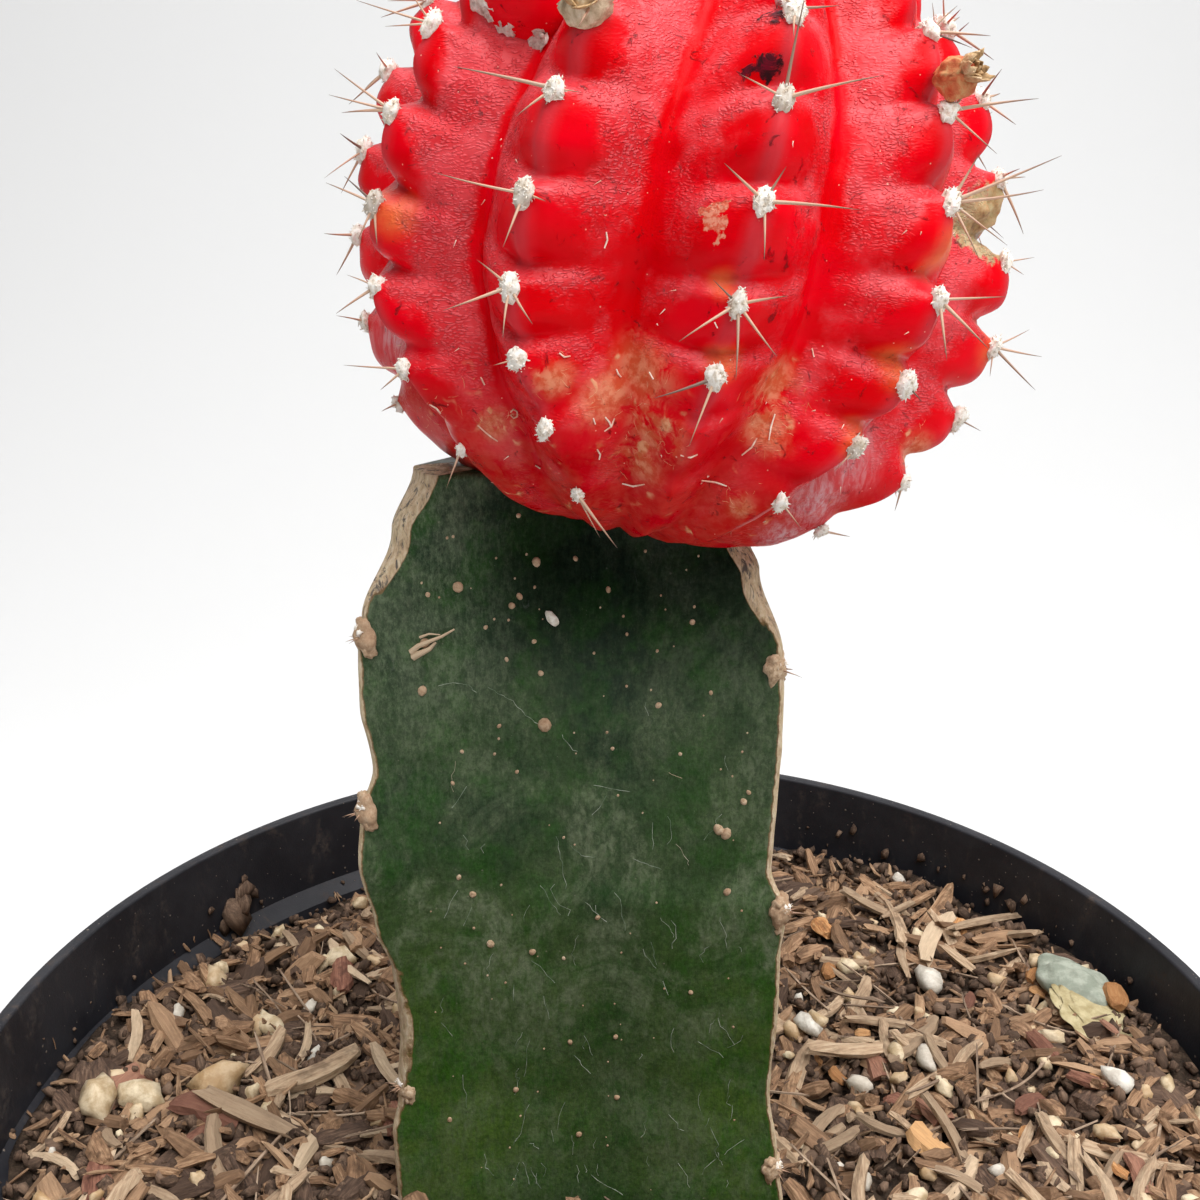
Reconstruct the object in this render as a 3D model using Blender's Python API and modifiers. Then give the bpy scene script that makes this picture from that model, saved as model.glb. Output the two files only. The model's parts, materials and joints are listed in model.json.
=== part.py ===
# Potted moon cactus: a red ribbed globe grafted on a green three-ribbed stem, in a round nursery pot.
# Metres, +Z up. The origin is the middle of the pot's foot ring, on the surface that the pot stands on.
# The front of the plant looks along -Y.

import math
import random

import bmesh
import bpy
from mathutils import Matrix, Vector

MM = 0.001
GAP = 0.3 * MM                     # left between pieces that touch
SIDES = 48                         # sides of the pot and of the soil in it

# Pot
POT_HEIGHT = 85 * MM
RIM_RADIUS = 50 * MM
RIM_WALL = 1.2 * MM
RIM_BEAD = 2.4 * MM                # height of the thicker lip round the rim
COLLAR_DROP = 8.4 * MM             # from the rim down to the step inside
COLLAR_STEP = 1.4 * MM             # how far the wall steps in there
COLLAR_WALL = 0.5 * MM             # how much thicker the wall is at the step than at the rim
LIP_ROUND = 0.3 * MM
BASE_RADIUS = 34.6 * MM
POT_WALL = 1.2 * MM
FLOOR_UNDER = 1.8 * MM
FLOOR_TOP = 3.2 * MM
FOOT_WIDTH = 3.2 * MM
DRAIN_COUNT = 6
DRAIN_RADIUS = 3.5 * MM
DRAIN_CIRCLE = 21 * MM

# Soil
SOIL_DROP = 9.8 * MM               # depth of the soil below the rim, at the middle
SOIL_SLOPE_X = 0.045               # it lies higher towards +X
SOIL_SLOPE_Y = -0.03               # and a little higher at the front
SOIL_DISH = 1.2                    # rise towards both sides, per metre of the distance squared
SOIL_BUMP = 0.6 * MM
CHIP_COUNT = 52
PEBBLE_COUNT = 16

# Rootstock: heights above the surface that the pot stands on, and the reach of each rib from the axis
STEM_X = -3.0 * MM
STEM_Y = 0.4 * MM
STEM_TOP = 131.6 * MM
STEM_FOOT = 48 * MM
STEM_SHOWS = 73 * MM               # just below the soil; the cross-sections are close together above it
RIB_EDGE = 0.9 * MM                # half the thickness of a rib's edge
RIB_TAPER = 0.42                   # how fast a rib thickens towards the axis
RIB_REACH = 15.5 * MM              # reach of an uncut rib
FACE_HOLLOW = 1.0 * MM
EDGE_CROWN = 0.25 * MM             # how far a rib's blunt edge swells in its middle
LEFT_RIB = ((48, 11.5), (62, 14.2), (75.6, 15.0), (82.2, 15.1), (85.3, 14.4), (91.2, 13.9), (95.7, 14.3),
            (99.7, 15.5), (104.8, 16.4), (108.6, 16.1), (111.8, 14.9), (116.5, 15.6), (120.7, 15.5),
            (122.5, 15.0), (127.8, 12.3), (131.6, 10.3))
RIGHT_RIB = ((48, 11.5), (62, 15.2), (76.5, 17.1), (80.3, 16.5), (86.2, 15.6), (93.3, 15.9), (97.5, 15.9),
             (101.2, 16.2), (104.2, 14.8), (108.8, 15.0), (113.4, 15.2), (117.0, 15.2), (120.2, 14.9),
             (125.2, 12.7), (127.4, 11.5), (131.6, 9.8))
BACK_RIB = ((48, 11.5), (62, 14.6), (76, 15.8), (84, 14.9), (90, 16.2), (97, 15.0), (104, 15.3),
            (111, 16.3), (116, 15.1), (120, 15.3), (125, 13.2), (131.6, 9.8))
STEM_RIBS = ((210, LEFT_RIB, (86.0, 108.9, 121.2)),
             (330, RIGHT_RIB, (79.5, 101.2, 118.9)),
             (90, BACK_RIB, (90.0, 111.0, 120.8)))   # direction, outline, heights of its areoles
KNOB_RADIUS = 0.95 * MM
KNOB_SUNK = 0.4 * MM

# Scion
GLOBE_CENTRE = Vector((3.95 * MM, 0.3 * MM, 146.1 * MM))
GLOBE_LEAN = math.radians(13)      # its crown leans towards +X
GLOBE_RADIUS = 20.6 * MM           # to the crest of a rib
GLOBE_RIBS = 11
FIRST_AZIMUTH = -92.4              # degrees from the front, positive towards +X
LOW_SWELL = 0.035                  # shares of the radius
HIGH_TAPER = 0.02
GRAFT_TUCK = 0.13
CROWN_DIMPLE = 0.1
FLAT_AZIMUTH = 76                  # the upper part of this side is flatter
FLAT_DEPTH = 1.3 * MM
VALLEY_DEPTH = 4.2 * MM
NOTCH_DEPTH = 1.6 * MM             # the crosswise notch above each areole
AREOLE_ROWS = 10
FIRST_LATITUDE = 76.2
ROW_STEP = 13.8                    # degrees of latitude from one areole to the next
ROW_SHIFT = 6.5                    # neighbouring ribs carry their areoles higher and lower
WOOL_HEIGHT = 0.45 * MM
RIB_COLUMNS = ((-0.6, 0.52, 0.4), (-0.25, 0.2, 0.85), (0.0, 0.0, 1.0),
               (0.25, 0.2, 0.85), (0.6, 0.52, 0.4), (1.0, 1.0, 0.0))   # place, valley share, notch share
TUBERCLE_STEPS = ((0.0, 0.0), (0.35, -0.15), (0.65, 0.35), (0.85, 1.0))  # way to the next areole, notch share
PAD_SHARE = 36                     # per cent of the way to the neighbouring points that a pad takes
SPINE_INSET = 0.4                  # share of a pad face's inner radius that is left round a spine's foot
SPINE_LENGTH = 3.9 * MM
LOWEST_SIDE_SPINES = -25           # degrees of latitude; the areoles below have one spine

# Offset and dried bloom remains on the globe: azimuth, latitude, distance from its centre, radius
OFFSET = (-55.5, 37.0, 18.1 * MM, 2.75 * MM)
BUD = (38.5, 32.0, 20.7 * MM, 1.1 * MM)
FLOWER = (-27.5, 27.5, 20.9 * MM, 1.3 * MM)

PARTS = "potted_moon_cactus"
CUTTERS = "cutters"


def clear_scene():
    for thing in list(bpy.data.objects):
        bpy.data.objects.remove(thing)
    for collection in list(bpy.data.collections):
        bpy.data.collections.remove(collection)


def new_collection(name):
    collection = bpy.data.collections.new(name)
    bpy.context.scene.collection.children.link(collection)
    return collection


def finish(name, colour, roughness):
    material = bpy.data.materials.new(name)
    material.use_nodes = True
    shader = material.node_tree.nodes["Principled BSDF"]
    shader.inputs["Base Color"].default_value = (*colour, 1)
    shader.inputs["Roughness"].default_value = roughness
    shader.inputs["Metallic"].default_value = 0
    return material


def add_object(name, build, collection, material=None):
    # Makes one object from a bmesh that is closed and faces outwards.
    mesh = bpy.data.meshes.new(name)
    build.to_mesh(mesh)
    build.free()
    if material:
        mesh.materials.append(material)
    thing = bpy.data.objects.new(name, mesh)
    collection.objects.link(thing)
    return thing


def loft(rings):
    # A closed skin over rings of points that correspond; the first and the last ring are single points.
    build = bmesh.new()
    rows = [[build.verts.new(point) for point in ring] for ring in rings]
    for low, high in zip(rows, rows[1:]):
        count = max(len(low), len(high))
        for i in range(count):
            j = (i + 1) % count
            corners = (low[i % len(low)], low[j % len(low)], high[j % len(high)], high[i % len(high)])
            build.faces.new(list(dict.fromkeys(corners)))
    bmesh.ops.recalc_face_normals(build, faces=build.faces)
    return build


def apply_modifiers(thing):
    bpy.context.view_layer.update()
    evaluated = thing.evaluated_get(bpy.context.evaluated_depsgraph_get())
    solid = bpy.data.meshes.new_from_object(evaluated)
    thing.modifiers.clear()
    thing.data = solid


def fuse(thing, pieces):
    # Joins the collection's pieces to the object and removes them.
    union = thing.modifiers.new("Fuse", "BOOLEAN")
    union.operation = "UNION"
    union.solver = "MANIFOLD"
    union.operand_type = "COLLECTION"
    union.collection = pieces
    apply_modifiers(thing)
    for piece in list(pieces.objects):
        bpy.data.objects.remove(piece)
    bpy.data.collections.remove(pieces)


def cut(thing, cutter):
    difference = thing.modifiers.new("Cut", "BOOLEAN")
    difference.operation = "DIFFERENCE"
    difference.solver = "MANIFOLD"
    difference.object = cutter
    apply_modifiers(thing)


def keep_main_body(thing):
    # Drops loose scraps and fills sealed hollows: only the skin that encloses the rest stays.
    build = bmesh.new()
    build.from_mesh(thing.data)
    unseen = set(build.verts)
    bodies = []
    while unseen:
        body = {unseen.pop()}
        edge = list(body)
        while edge:
            for link in edge.pop().link_edges:
                for vertex in link.verts:
                    if vertex not in body:
                        body.add(vertex)
                        edge.append(vertex)
        unseen -= body
        bodies.append(body)
    main = max(bodies, key=len)
    for body in bodies:
        if body is not main:
            bmesh.ops.delete(build, geom=list(body), context="VERTS")
    build.to_mesh(thing.data)
    build.free()


def as_cutter(thing, cutters):
    for collection in thing.users_collection:
        collection.objects.unlink(thing)
    cutters.objects.link(thing)
    thing.hide_render = True
    thing.display_type = "WIRE"
    return thing


# Pot

STEP_TOP = POT_HEIGHT - COLLAR_DROP
STEP_LOW = STEP_TOP - COLLAR_STEP
RIM_INSIDE = RIM_RADIUS - RIM_WALL
COLLAR_INSIDE = RIM_INSIDE - COLLAR_WALL
WALL_INSIDE = COLLAR_INSIDE - COLLAR_STEP
FLOOR_INSIDE = BASE_RADIUS - POT_WALL


def inner_radius(height):
    # Radius of the pot's inner wall at a height above the floor.
    if height >= STEP_TOP:
        return COLLAR_INSIDE + (RIM_INSIDE - COLLAR_INSIDE) * (height - STEP_TOP) / COLLAR_DROP
    if height >= STEP_LOW:
        return WALL_INSIDE + height - STEP_LOW      # the step slopes at 45 degrees
    return FLOOR_INSIDE + (WALL_INSIDE - FLOOR_INSIDE) * (height - FLOOR_TOP) / (STEP_LOW - FLOOR_TOP)


def make_pot(parts, cutters):
    outside = RIM_RADIUS - 0.7 * MM
    profile = (
        (0, FLOOR_TOP),
        (FLOOR_INSIDE, FLOOR_TOP),
        (WALL_INSIDE, STEP_LOW),
        (COLLAR_INSIDE, STEP_TOP),
        (RIM_INSIDE, POT_HEIGHT - LIP_ROUND),
        (RIM_INSIDE + LIP_ROUND, POT_HEIGHT),
        (RIM_RADIUS - LIP_ROUND, POT_HEIGHT),
        (RIM_RADIUS, POT_HEIGHT - LIP_ROUND),
        (RIM_RADIUS, POT_HEIGHT - RIM_BEAD),
        (outside, POT_HEIGHT - RIM_BEAD - 0.5 * MM),
        (outside - 0.2 * MM, STEP_LOW - 1.2 * MM),
        (WALL_INSIDE + POT_WALL, STEP_LOW - 2.0 * MM),
        (BASE_RADIUS + 0.3 * MM, 0.8 * MM),
        (BASE_RADIUS, 0),
        (BASE_RADIUS - FOOT_WIDTH, 0),
        (BASE_RADIUS - FOOT_WIDTH - 0.5 * MM, FLOOR_UNDER),
        (0, FLOOR_UNDER),
    )
    mesh = bpy.data.meshes.new("pot")
    edges = [(i, i + 1) for i in range(len(profile) - 1)]
    mesh.from_pydata([(x, 0, z) for x, z in profile], edges, [])
    mesh.materials.append(finish("black plastic", (0.012, 0.013, 0.015), 0.45))
    pot = bpy.data.objects.new("pot", mesh)
    parts.objects.link(pot)
    turn = pot.modifiers.new("Turn", "SCREW")
    turn.axis = "Z"
    turn.steps = turn.render_steps = SIDES
    turn.use_merge_vertices = True
    turn.merge_threshold = 0.00001
    apply_modifiers(pot)

    holes = new_collection("drain holes")
    for i in range(DRAIN_COUNT):
        angle = 2 * math.pi * i / DRAIN_COUNT
        build = bmesh.new()
        bmesh.ops.create_cone(build, cap_ends=True, segments=16, radius1=DRAIN_RADIUS,
                              radius2=DRAIN_RADIUS, depth=4 * FLOOR_TOP)
        hole = add_object("drain hole", build, holes)
        hole.location = (DRAIN_CIRCLE * math.cos(angle), DRAIN_CIRCLE * math.sin(angle), FLOOR_TOP)
    for hole in list(holes.objects):
        cut(pot, as_cutter(hole, cutters))
    bpy.data.collections.remove(holes)
    pot.data.shade_smooth()
    pot.data.set_sharp_from_angle(angle=math.radians(30))
    return pot


# Rootstock

def rib_reach(outline, height):
    # Reach of a rib at a height in millimetres, on smooth arcs between the outline's points.
    for (low, near), (high, far) in zip(outline, outline[1:]):
        if height <= high:
            share = max(0.0, (height - low) / (high - low))
            return (near + (far - near) * share * share * (3 - 2 * share)) * MM
    return outline[-1][1] * MM


def stem_ring(height, grow):
    # One cross-section: three blunt edges with a shallow hollow face between each two.
    corners = []
    for direction, outline, _ in sorted(STEM_RIBS, key=lambda rib: rib[0]):
        reach = rib_reach(outline, height / MM)
        half = RIB_EDGE + RIB_TAPER * max(0.0, RIB_REACH - reach)
        out = Vector((math.cos(math.radians(direction)), math.sin(math.radians(direction))))
        side = Vector((-out.y, out.x))
        corners.append((out * (reach + grow), side * (half + grow), out))
    ring = []
    face_steps = 5
    for (tip, half, out), (next_tip, next_half, next_out) in zip(corners, corners[1:] + corners[:1]):
        ring += [tip - half, tip + out * EDGE_CROWN, tip + half]
        start, end = tip + half, next_tip - next_half
        inwards = -(out + next_out).normalized()
        for i in range(1, face_steps):
            share = i / face_steps
            hollow = (FACE_HOLLOW - grow) * math.sin(math.pi * share)
            ring.append(start.lerp(end, share) + inwards * hollow)
    return [(STEM_X + p.x, STEM_Y + p.y, height) for p in ring]


def stem_heights():
    below = [STEM_FOOT, 55 * MM, 66 * MM]
    steps = 24
    above = [STEM_SHOWS + (STEM_TOP - STEM_SHOWS) * i / steps for i in range(steps)]
    return below + above + [STEM_TOP]


def stem_solid(grow):
    rings = [[(STEM_X, STEM_Y, STEM_FOOT - grow)]]
    for height in stem_heights():
        z = height
        if height == STEM_FOOT:
            z = height - grow
        if height == STEM_TOP:
            z = height + grow
        rings.append([(x, y, z) for x, y, _ in stem_ring(height, grow)])
    rings.append([(STEM_X, STEM_Y, STEM_TOP + grow)])
    return loft(rings)


def make_rootstock(parts):
    skin = finish("green stem skin", (0.025, 0.075, 0.022), 0.5)
    stem = add_object("rootstock", stem_solid(0), parts, skin)
    knobs = new_collection("areole knobs")
    for direction, outline, heights in STEM_RIBS:
        angle = math.radians(direction)
        for height in heights:
            reach = rib_reach(outline, height) - KNOB_SUNK
            build = bmesh.new()
            bmesh.ops.create_icosphere(build, subdivisions=1, radius=KNOB_RADIUS)
            knob = add_object("knob", build, knobs)
            knob.location = (STEM_X + reach * math.cos(angle), STEM_Y + reach * math.sin(angle), height * MM)
            knob.rotation_euler = (0.3, 0.2, angle)
    fuse(stem, knobs)
    keep_main_body(stem)
    return stem


# Soil

def soil_height(x, y):
    # Lumpy surface of the mix, by a sum of waves of unlike lengths.
    wave = (math.sin(x / (5.1 * MM) + 1.0) * math.cos(y / (6.3 * MM))
            + 0.6 * math.sin(x / (2.9 * MM) - y / (3.7 * MM))
            + 0.5 * math.cos(y / (2.6 * MM) + x / (8.9 * MM)))
    level = POT_HEIGHT - SOIL_DROP + SOIL_DISH * x * x
    return level + SOIL_SLOPE_X * x + SOIL_SLOPE_Y * y + SOIL_BUMP * wave


def round_ring(radius_at, height_at):
    ring = []
    for i in range(SIDES):
        angle = 2 * math.pi * i / SIDES
        radius = radius_at(angle)
        x, y = radius * math.cos(angle), radius * math.sin(angle)
        ring.append((x, y, height_at(x, y)))
    return ring


def make_soil(parts, stem_cutter):
    top_rings = 6
    rings = [[(0, 0, soil_height(0, 0))]]
    edge = COLLAR_INSIDE
    for i in range(1, top_rings):
        rings.append(round_ring(lambda angle, r=edge * i / top_rings: r, soil_height))
    # The sides follow the pot's inner wall, with rings just under the surface where the wall steps in.
    lows = (0.0, 0.4 * MM, 0.8 * MM)
    limits = (POT_HEIGHT, STEP_TOP + 0.2 * MM, STEP_LOW - 0.1 * MM)
    for low, limit in zip(lows, limits):
        ring = []
        for i in range(SIDES):
            angle = 2 * math.pi * i / SIDES
            x, y = edge * math.cos(angle), edge * math.sin(angle)
            height = min(soil_height(x, y) - low, limit)
            radius = inner_radius(height) - GAP
            ring.append((radius * math.cos(angle), radius * math.sin(angle), height))
        rings.append(ring)
    for height in (40 * MM, FLOOR_TOP + GAP):
        radius = inner_radius(height) - GAP
        rings.append(round_ring(lambda angle, r=radius: r, lambda x, y, z=height: z))
    rings.append([(0, 0, FLOOR_TOP + GAP)])
    mix = finish("bark and potting mix", (0.23, 0.15, 0.09), 0.95)
    soil = add_object("soil", loft(rings), parts, mix)

    # Bark chips and pebbles, half sunk in the surface.
    draw = random.Random(7)
    pieces = new_collection("chips")
    for i in range(CHIP_COUNT + PEBBLE_COUNT):
        build = bmesh.new()
        if i < CHIP_COUNT:
            length = draw.uniform(5.5, 11.0) * MM
            size = (length, draw.uniform(2.4, 4.6) * MM, draw.uniform(1.6, 2.8) * MM)
            bmesh.ops.create_cube(build, size=1.0)
        else:
            length = draw.uniform(3.2, 5.6) * MM
            size = (length / 2, length * 0.4, length * 0.32)
            bmesh.ops.create_icosphere(build, subdivisions=1, radius=1.0)
        bmesh.ops.scale(build, vec=size, verts=build.verts)
        for vertex in build.verts:
            vertex.co *= draw.uniform(0.82, 1.08)
        chip = add_object("chip", build, pieces)
        reach = (WALL_INSIDE - 0.6 * length - 0.6 * MM) * math.sqrt(draw.uniform(0.06, 1.0))
        angle = draw.uniform(0, 2 * math.pi)
        x, y = reach * math.cos(angle), reach * math.sin(angle)
        chip.location = (x, y, soil_height(x, y) + 0.1 * MM)
        chip.rotation_euler = (draw.uniform(-0.35, 0.35), draw.uniform(-0.3, 0.3), draw.uniform(0, math.pi))
    fuse(soil, pieces)
    cut(soil, stem_cutter)
    keep_main_body(soil)
    return soil


# Scion

def row_shift(rib):
    return ROW_SHIFT * math.cos(rib * math.pi / 2)


def ease(value, start, end):
    share = min(1.0, max(0.0, (value - start) / (end - start)))
    return share * share * (3 - 2 * share)


def globe_radius(azimuth, latitude, valley, notch):
    # The globe is fullest below its middle, and its crown is dimpled. The ribs fade towards the graft.
    spread = math.cos(math.radians(latitude))
    shape = (1 + LOW_SWELL * ease(-latitude, 5, 35) - GRAFT_TUCK * ease(-latitude, 45, 88)
             - HIGH_TAPER * ease(latitude, 5, 45) - CROWN_DIMPLE * ease(latitude, 55, 90))
    off_side = math.cos(math.radians(azimuth - FLAT_AZIMUTH))
    flat = FLAT_DEPTH * max(0.0, off_side) ** 4 * ease(latitude, -4, 16)
    valleys = VALLEY_DEPTH * valley * spread ** 0.6 * (1 - 0.55 * ease(-latitude, 40, 62))
    return GLOBE_RADIUS * shape - flat - valleys - NOTCH_DEPTH * notch * (0.2 + 0.8 * spread)


def globe_point(azimuth, latitude, radius):
    around, up = math.radians(azimuth), math.radians(latitude)
    return Vector((radius * math.sin(around) * math.cos(up),
                   -radius * math.cos(around) * math.cos(up),
                   radius * math.sin(up)))


def rib_azimuth(rib):
    return FIRST_AZIMUTH + 360 * rib / GLOBE_RIBS


def row_latitude(row, shift):
    latitude = FIRST_LATITUDE - ROW_STEP * row
    return latitude + shift * math.cos(math.radians(latitude))


def globe_rings():
    rows = [(-0.6, 0.0)]
    for areole in range(AREOLE_ROWS - 1):
        rows += [(areole + way, notch) for way, notch in TUBERCLE_STEPS]
    last = AREOLE_ROWS - 1
    rows += [(last, 0.0), (last + 0.6, 0.0), (last + 1.4, 0.0), (last + 2.3, 0.0)]
    rings = [[globe_point(0, 90, globe_radius(0, 90, 0, 0))]]
    for row, notch in rows:
        ring = []
        for rib in range(GLOBE_RIBS):
            for place, valley, notch_share in RIB_COLUMNS:
                beside = (rib + (1 if place > 0 else -1)) % GLOBE_RIBS
                share = abs(place) / 2
                shift = row_shift(rib) * (1 - share) + row_shift(beside) * share
                latitude = row_latitude(row, shift)
                azimuth = rib_azimuth(rib) + place * 180 / GLOBE_RIBS
                radius = globe_radius(azimuth, latitude, valley, notch * notch_share)
                ring.append(globe_point(azimuth, latitude, radius))
        rings.append(ring)
    rings.append([globe_point(0, -90, globe_radius(0, -90, 0, 0))])
    return rings


def globe_frame():
    return Matrix.Translation(GLOBE_CENTRE) @ Matrix.Rotation(GLOBE_LEAN, 4, "Y")


def grow_areoles(build):
    # At each areole the crest's point is opened into a small pad of four faces. Three of them are drawn out
    # into spines, one to each side and one down, which shorten towards the crown and the graft.
    build.verts.ensure_lookup_table()
    columns = GLOBE_RIBS * len(RIB_COLUMNS)
    crest = [column[0] for column in RIB_COLUMNS].index(0.0)
    seats = []
    for row in range(AREOLE_ROWS):
        ring = 1 + row * len(TUBERCLE_STEPS)
        for rib in range(GLOBE_RIBS):
            place = 1 + ring * columns + rib * len(RIB_COLUMNS) + crest
            seats.append((rib, row, build.verts[place]))
    draw = random.Random(11)
    for rib, row, vertex in seats:
        latitude = row_latitude(row, row_shift(rib))
        azimuth = math.radians(rib_azimuth(rib))
        out = vertex.co.normalized()
        east = Vector((math.cos(azimuth), math.sin(azimuth), 0))
        north = out.cross(east) if out.cross(east).z > 0 else east.cross(out)
        opened = bmesh.ops.bevel(build, geom=[vertex], offset=PAD_SHARE, offset_type="PERCENT",
                                 segments=1, profile=0.5, affect="VERTICES")
        pad = min(opened["faces"], key=lambda face: face.calc_area())
        poked = bmesh.ops.poke(build, faces=[pad])
        middle = poked["verts"][0]
        middle.co += out * WOOL_HEIGHT
        quarters = {}
        for face in poked["faces"]:
            away = face.calc_center_median() - middle.co
            quarters[(away.dot(east) > 0, away.dot(north) > 0)] = face
        length = SPINE_LENGTH * (1 - 0.45 * ease(latitude, 35, 75) - 0.4 * ease(-latitude, 15, 48))
        for quarter, way in (((True, True), east + 0.15 * north), ((False, True), 0.15 * north - east),
                             ((True, False), 0.15 * east - north)):
            if latitude < LOWEST_SIDE_SPINES and quarter[1] or quarter not in quarters:
                continue
            lean = Vector((draw.uniform(-0.15, 0.15), draw.uniform(-0.15, 0.15), draw.uniform(-0.15, 0.15)))
            rise = 0.75 + 0.6 * ease(latitude, 45, 75)
            direction = (way + out * rise + lean).normalized()
            foot = quarters[quarter]
            width = 2 * foot.calc_area() / foot.calc_perimeter()
            bmesh.ops.inset_individual(build, faces=[foot], thickness=SPINE_INSET * width)
            root = foot.calc_center_median()
            tip = bmesh.ops.poke(build, faces=[foot])["verts"][0]
            tip.co = root + direction * length * draw.uniform(0.8, 1.1)


def seat_on_globe(place):
    azimuth, latitude, distance, _ = place
    return globe_frame() @ globe_point(azimuth, latitude, distance)


def make_scion(parts, cutters, stem_cutter):
    skin = finish("red globe skin", (0.62, 0.012, 0.02), 0.35)
    build = loft(globe_rings())
    grow_areoles(build)
    globe = add_object("scion", build, parts, skin)
    globe.matrix_world = globe_frame()
    pieces = new_collection("offsets")
    build = bmesh.new()
    bmesh.ops.create_uvsphere(build, u_segments=12, v_segments=8, radius=OFFSET[3])
    offset = add_object("offset", build, pieces)
    offset.location = seat_on_globe(OFFSET)
    bpy.context.view_layer.update()
    fuse(globe, pieces)
    cut(globe, stem_cutter)
    for place in (BUD, FLOWER):
        build = bmesh.new()
        bmesh.ops.create_icosphere(build, subdivisions=2, radius=place[3] + GAP)
        socket = add_object("socket", build, cutters)
        socket.location = seat_on_globe(place)
        cut(globe, as_cutter(socket, cutters))
    keep_main_body(globe)
    return globe


# Dried bloom remains

def make_remains(name, place, tips, colour, parts):
    # A shrivelled bud: a small rounded base with papery points that stand away from the globe.
    radius = place[3]
    build = bmesh.new()
    bmesh.ops.create_icosphere(build, subdivisions=2, radius=radius)
    bud = add_object(name, build, parts, finish(name.replace("_", " "), colour, 0.8))
    centre = seat_on_globe(place)
    out = (centre - GLOBE_CENTRE).normalized()
    bud.location = centre
    pieces = new_collection("papery points")
    for i in range(tips):
        angle = 2 * math.pi * i / tips
        side = out.orthogonal().normalized()
        side.rotate(Matrix.Rotation(angle, 3, out))
        direction = (out * 1.5 + side * 0.7).normalized()
        build = bmesh.new()
        bmesh.ops.create_cone(build, cap_ends=True, segments=4, radius1=0.55 * radius, radius2=0,
                              depth=1.9 * radius)
        bmesh.ops.remove_doubles(build, verts=build.verts, dist=0.01 * MM)
        point = add_object("point", build, pieces)
        turn = direction.to_track_quat("Z", "Y").to_matrix().to_4x4()
        point.matrix_world = Matrix.Translation(centre + direction * 1.2 * radius) @ turn
    bpy.context.view_layer.update()
    fuse(bud, pieces)
    keep_main_body(bud)
    return bud


def main():
    clear_scene()
    parts = new_collection(PARTS)
    cutters = new_collection(CUTTERS)
    make_pot(parts, cutters)
    make_rootstock(parts)
    stem_cutter = as_cutter(add_object("stem cutter", stem_solid(GAP), cutters), cutters)
    make_soil(parts, stem_cutter)
    make_scion(parts, cutters, stem_cutter)
    make_remains("dried_bud", BUD, 5, (0.42, 0.17, 0.07), parts)
    make_remains("dried_flower", FLOWER, 4, (0.45, 0.32, 0.2), parts)


main()
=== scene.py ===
import json
import math
import random

import bmesh
import bpy
import numpy as np
from mathutils import Matrix, Vector, noise
from mathutils.bvhtree import BVHTree

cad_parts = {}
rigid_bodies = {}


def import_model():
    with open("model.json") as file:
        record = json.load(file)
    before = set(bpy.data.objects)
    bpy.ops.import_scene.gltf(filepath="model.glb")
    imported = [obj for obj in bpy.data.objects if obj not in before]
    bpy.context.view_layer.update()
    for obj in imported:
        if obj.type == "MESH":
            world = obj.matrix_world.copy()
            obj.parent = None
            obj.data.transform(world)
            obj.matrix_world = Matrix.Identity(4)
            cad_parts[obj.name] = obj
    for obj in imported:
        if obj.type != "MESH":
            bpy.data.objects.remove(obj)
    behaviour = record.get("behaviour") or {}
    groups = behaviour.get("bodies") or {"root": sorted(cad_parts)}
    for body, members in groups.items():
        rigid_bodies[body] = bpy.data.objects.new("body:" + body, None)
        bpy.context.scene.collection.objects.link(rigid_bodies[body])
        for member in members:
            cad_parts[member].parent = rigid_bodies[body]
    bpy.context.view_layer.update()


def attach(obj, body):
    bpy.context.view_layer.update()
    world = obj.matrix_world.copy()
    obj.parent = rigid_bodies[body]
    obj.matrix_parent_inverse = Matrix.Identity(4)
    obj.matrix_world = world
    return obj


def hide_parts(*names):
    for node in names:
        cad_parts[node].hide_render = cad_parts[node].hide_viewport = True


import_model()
mm = 0.001


# Meshes

def spun(reach, angle):
    return reach * math.cos(angle), reach * math.sin(angle)


def ease(value, start, end):
    share = np.clip((value - start) / (end - start), 0.0, 1.0)
    return share * share * (3 - 2 * share)


def addMesh(name, points, faces, material=None, smooth=True):
    # points in millimetres
    mesh = bpy.data.meshes.new(name)
    mesh.from_pydata([tuple(p) for p in np.asarray(points, float) * mm], [], faces)
    mesh.update()
    if smooth:
        mesh.shade_smooth()
    if material:
        mesh.materials.append(material)
    return standing(name, mesh)


def standing(name, data):
    piece = bpy.data.objects.new(name, data)
    bpy.context.scene.collection.objects.link(piece)
    return piece


def builtMesh(name, build, smooth=True):
    mesh = bpy.data.meshes.new(name)
    build.to_mesh(mesh)
    build.free()
    if smooth:
        mesh.shade_smooth()
    return mesh


def faceOutwards(mesh):
    build = bmesh.new()
    build.from_mesh(mesh)
    bmesh.ops.recalc_face_normals(build, faces=build.faces)
    build.to_mesh(mesh)
    build.free()


def addValue(mesh, name, values, kind="FLOAT"):
    # one value or vector for each point of the mesh, read by the materials and by the trees
    layer = mesh.attributes.new(name, kind, "POINT")
    field = "value" if kind == "FLOAT" else "vector"
    layer.data.foreach_set(field, np.asarray(values, np.float32).ravel())


def ringFaces(rings, columns, first=0):
    # quads between closed rings of points, low ring first, facing outwards
    faces = []
    for ring in range(rings - 1):
        for i in range(columns):
            j = (i + 1) % columns
            low, high = first + ring * columns, first + (ring + 1) * columns
            faces.append((low + i, low + j, high + j, high + i))
    return faces


def capFaces(pole, ring, columns, top):
    fan = [(ring + i, ring + (i + 1) % columns, pole) for i in range(columns)]
    return fan if top else [(b, a, pole) for a, b, pole in fan]


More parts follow.
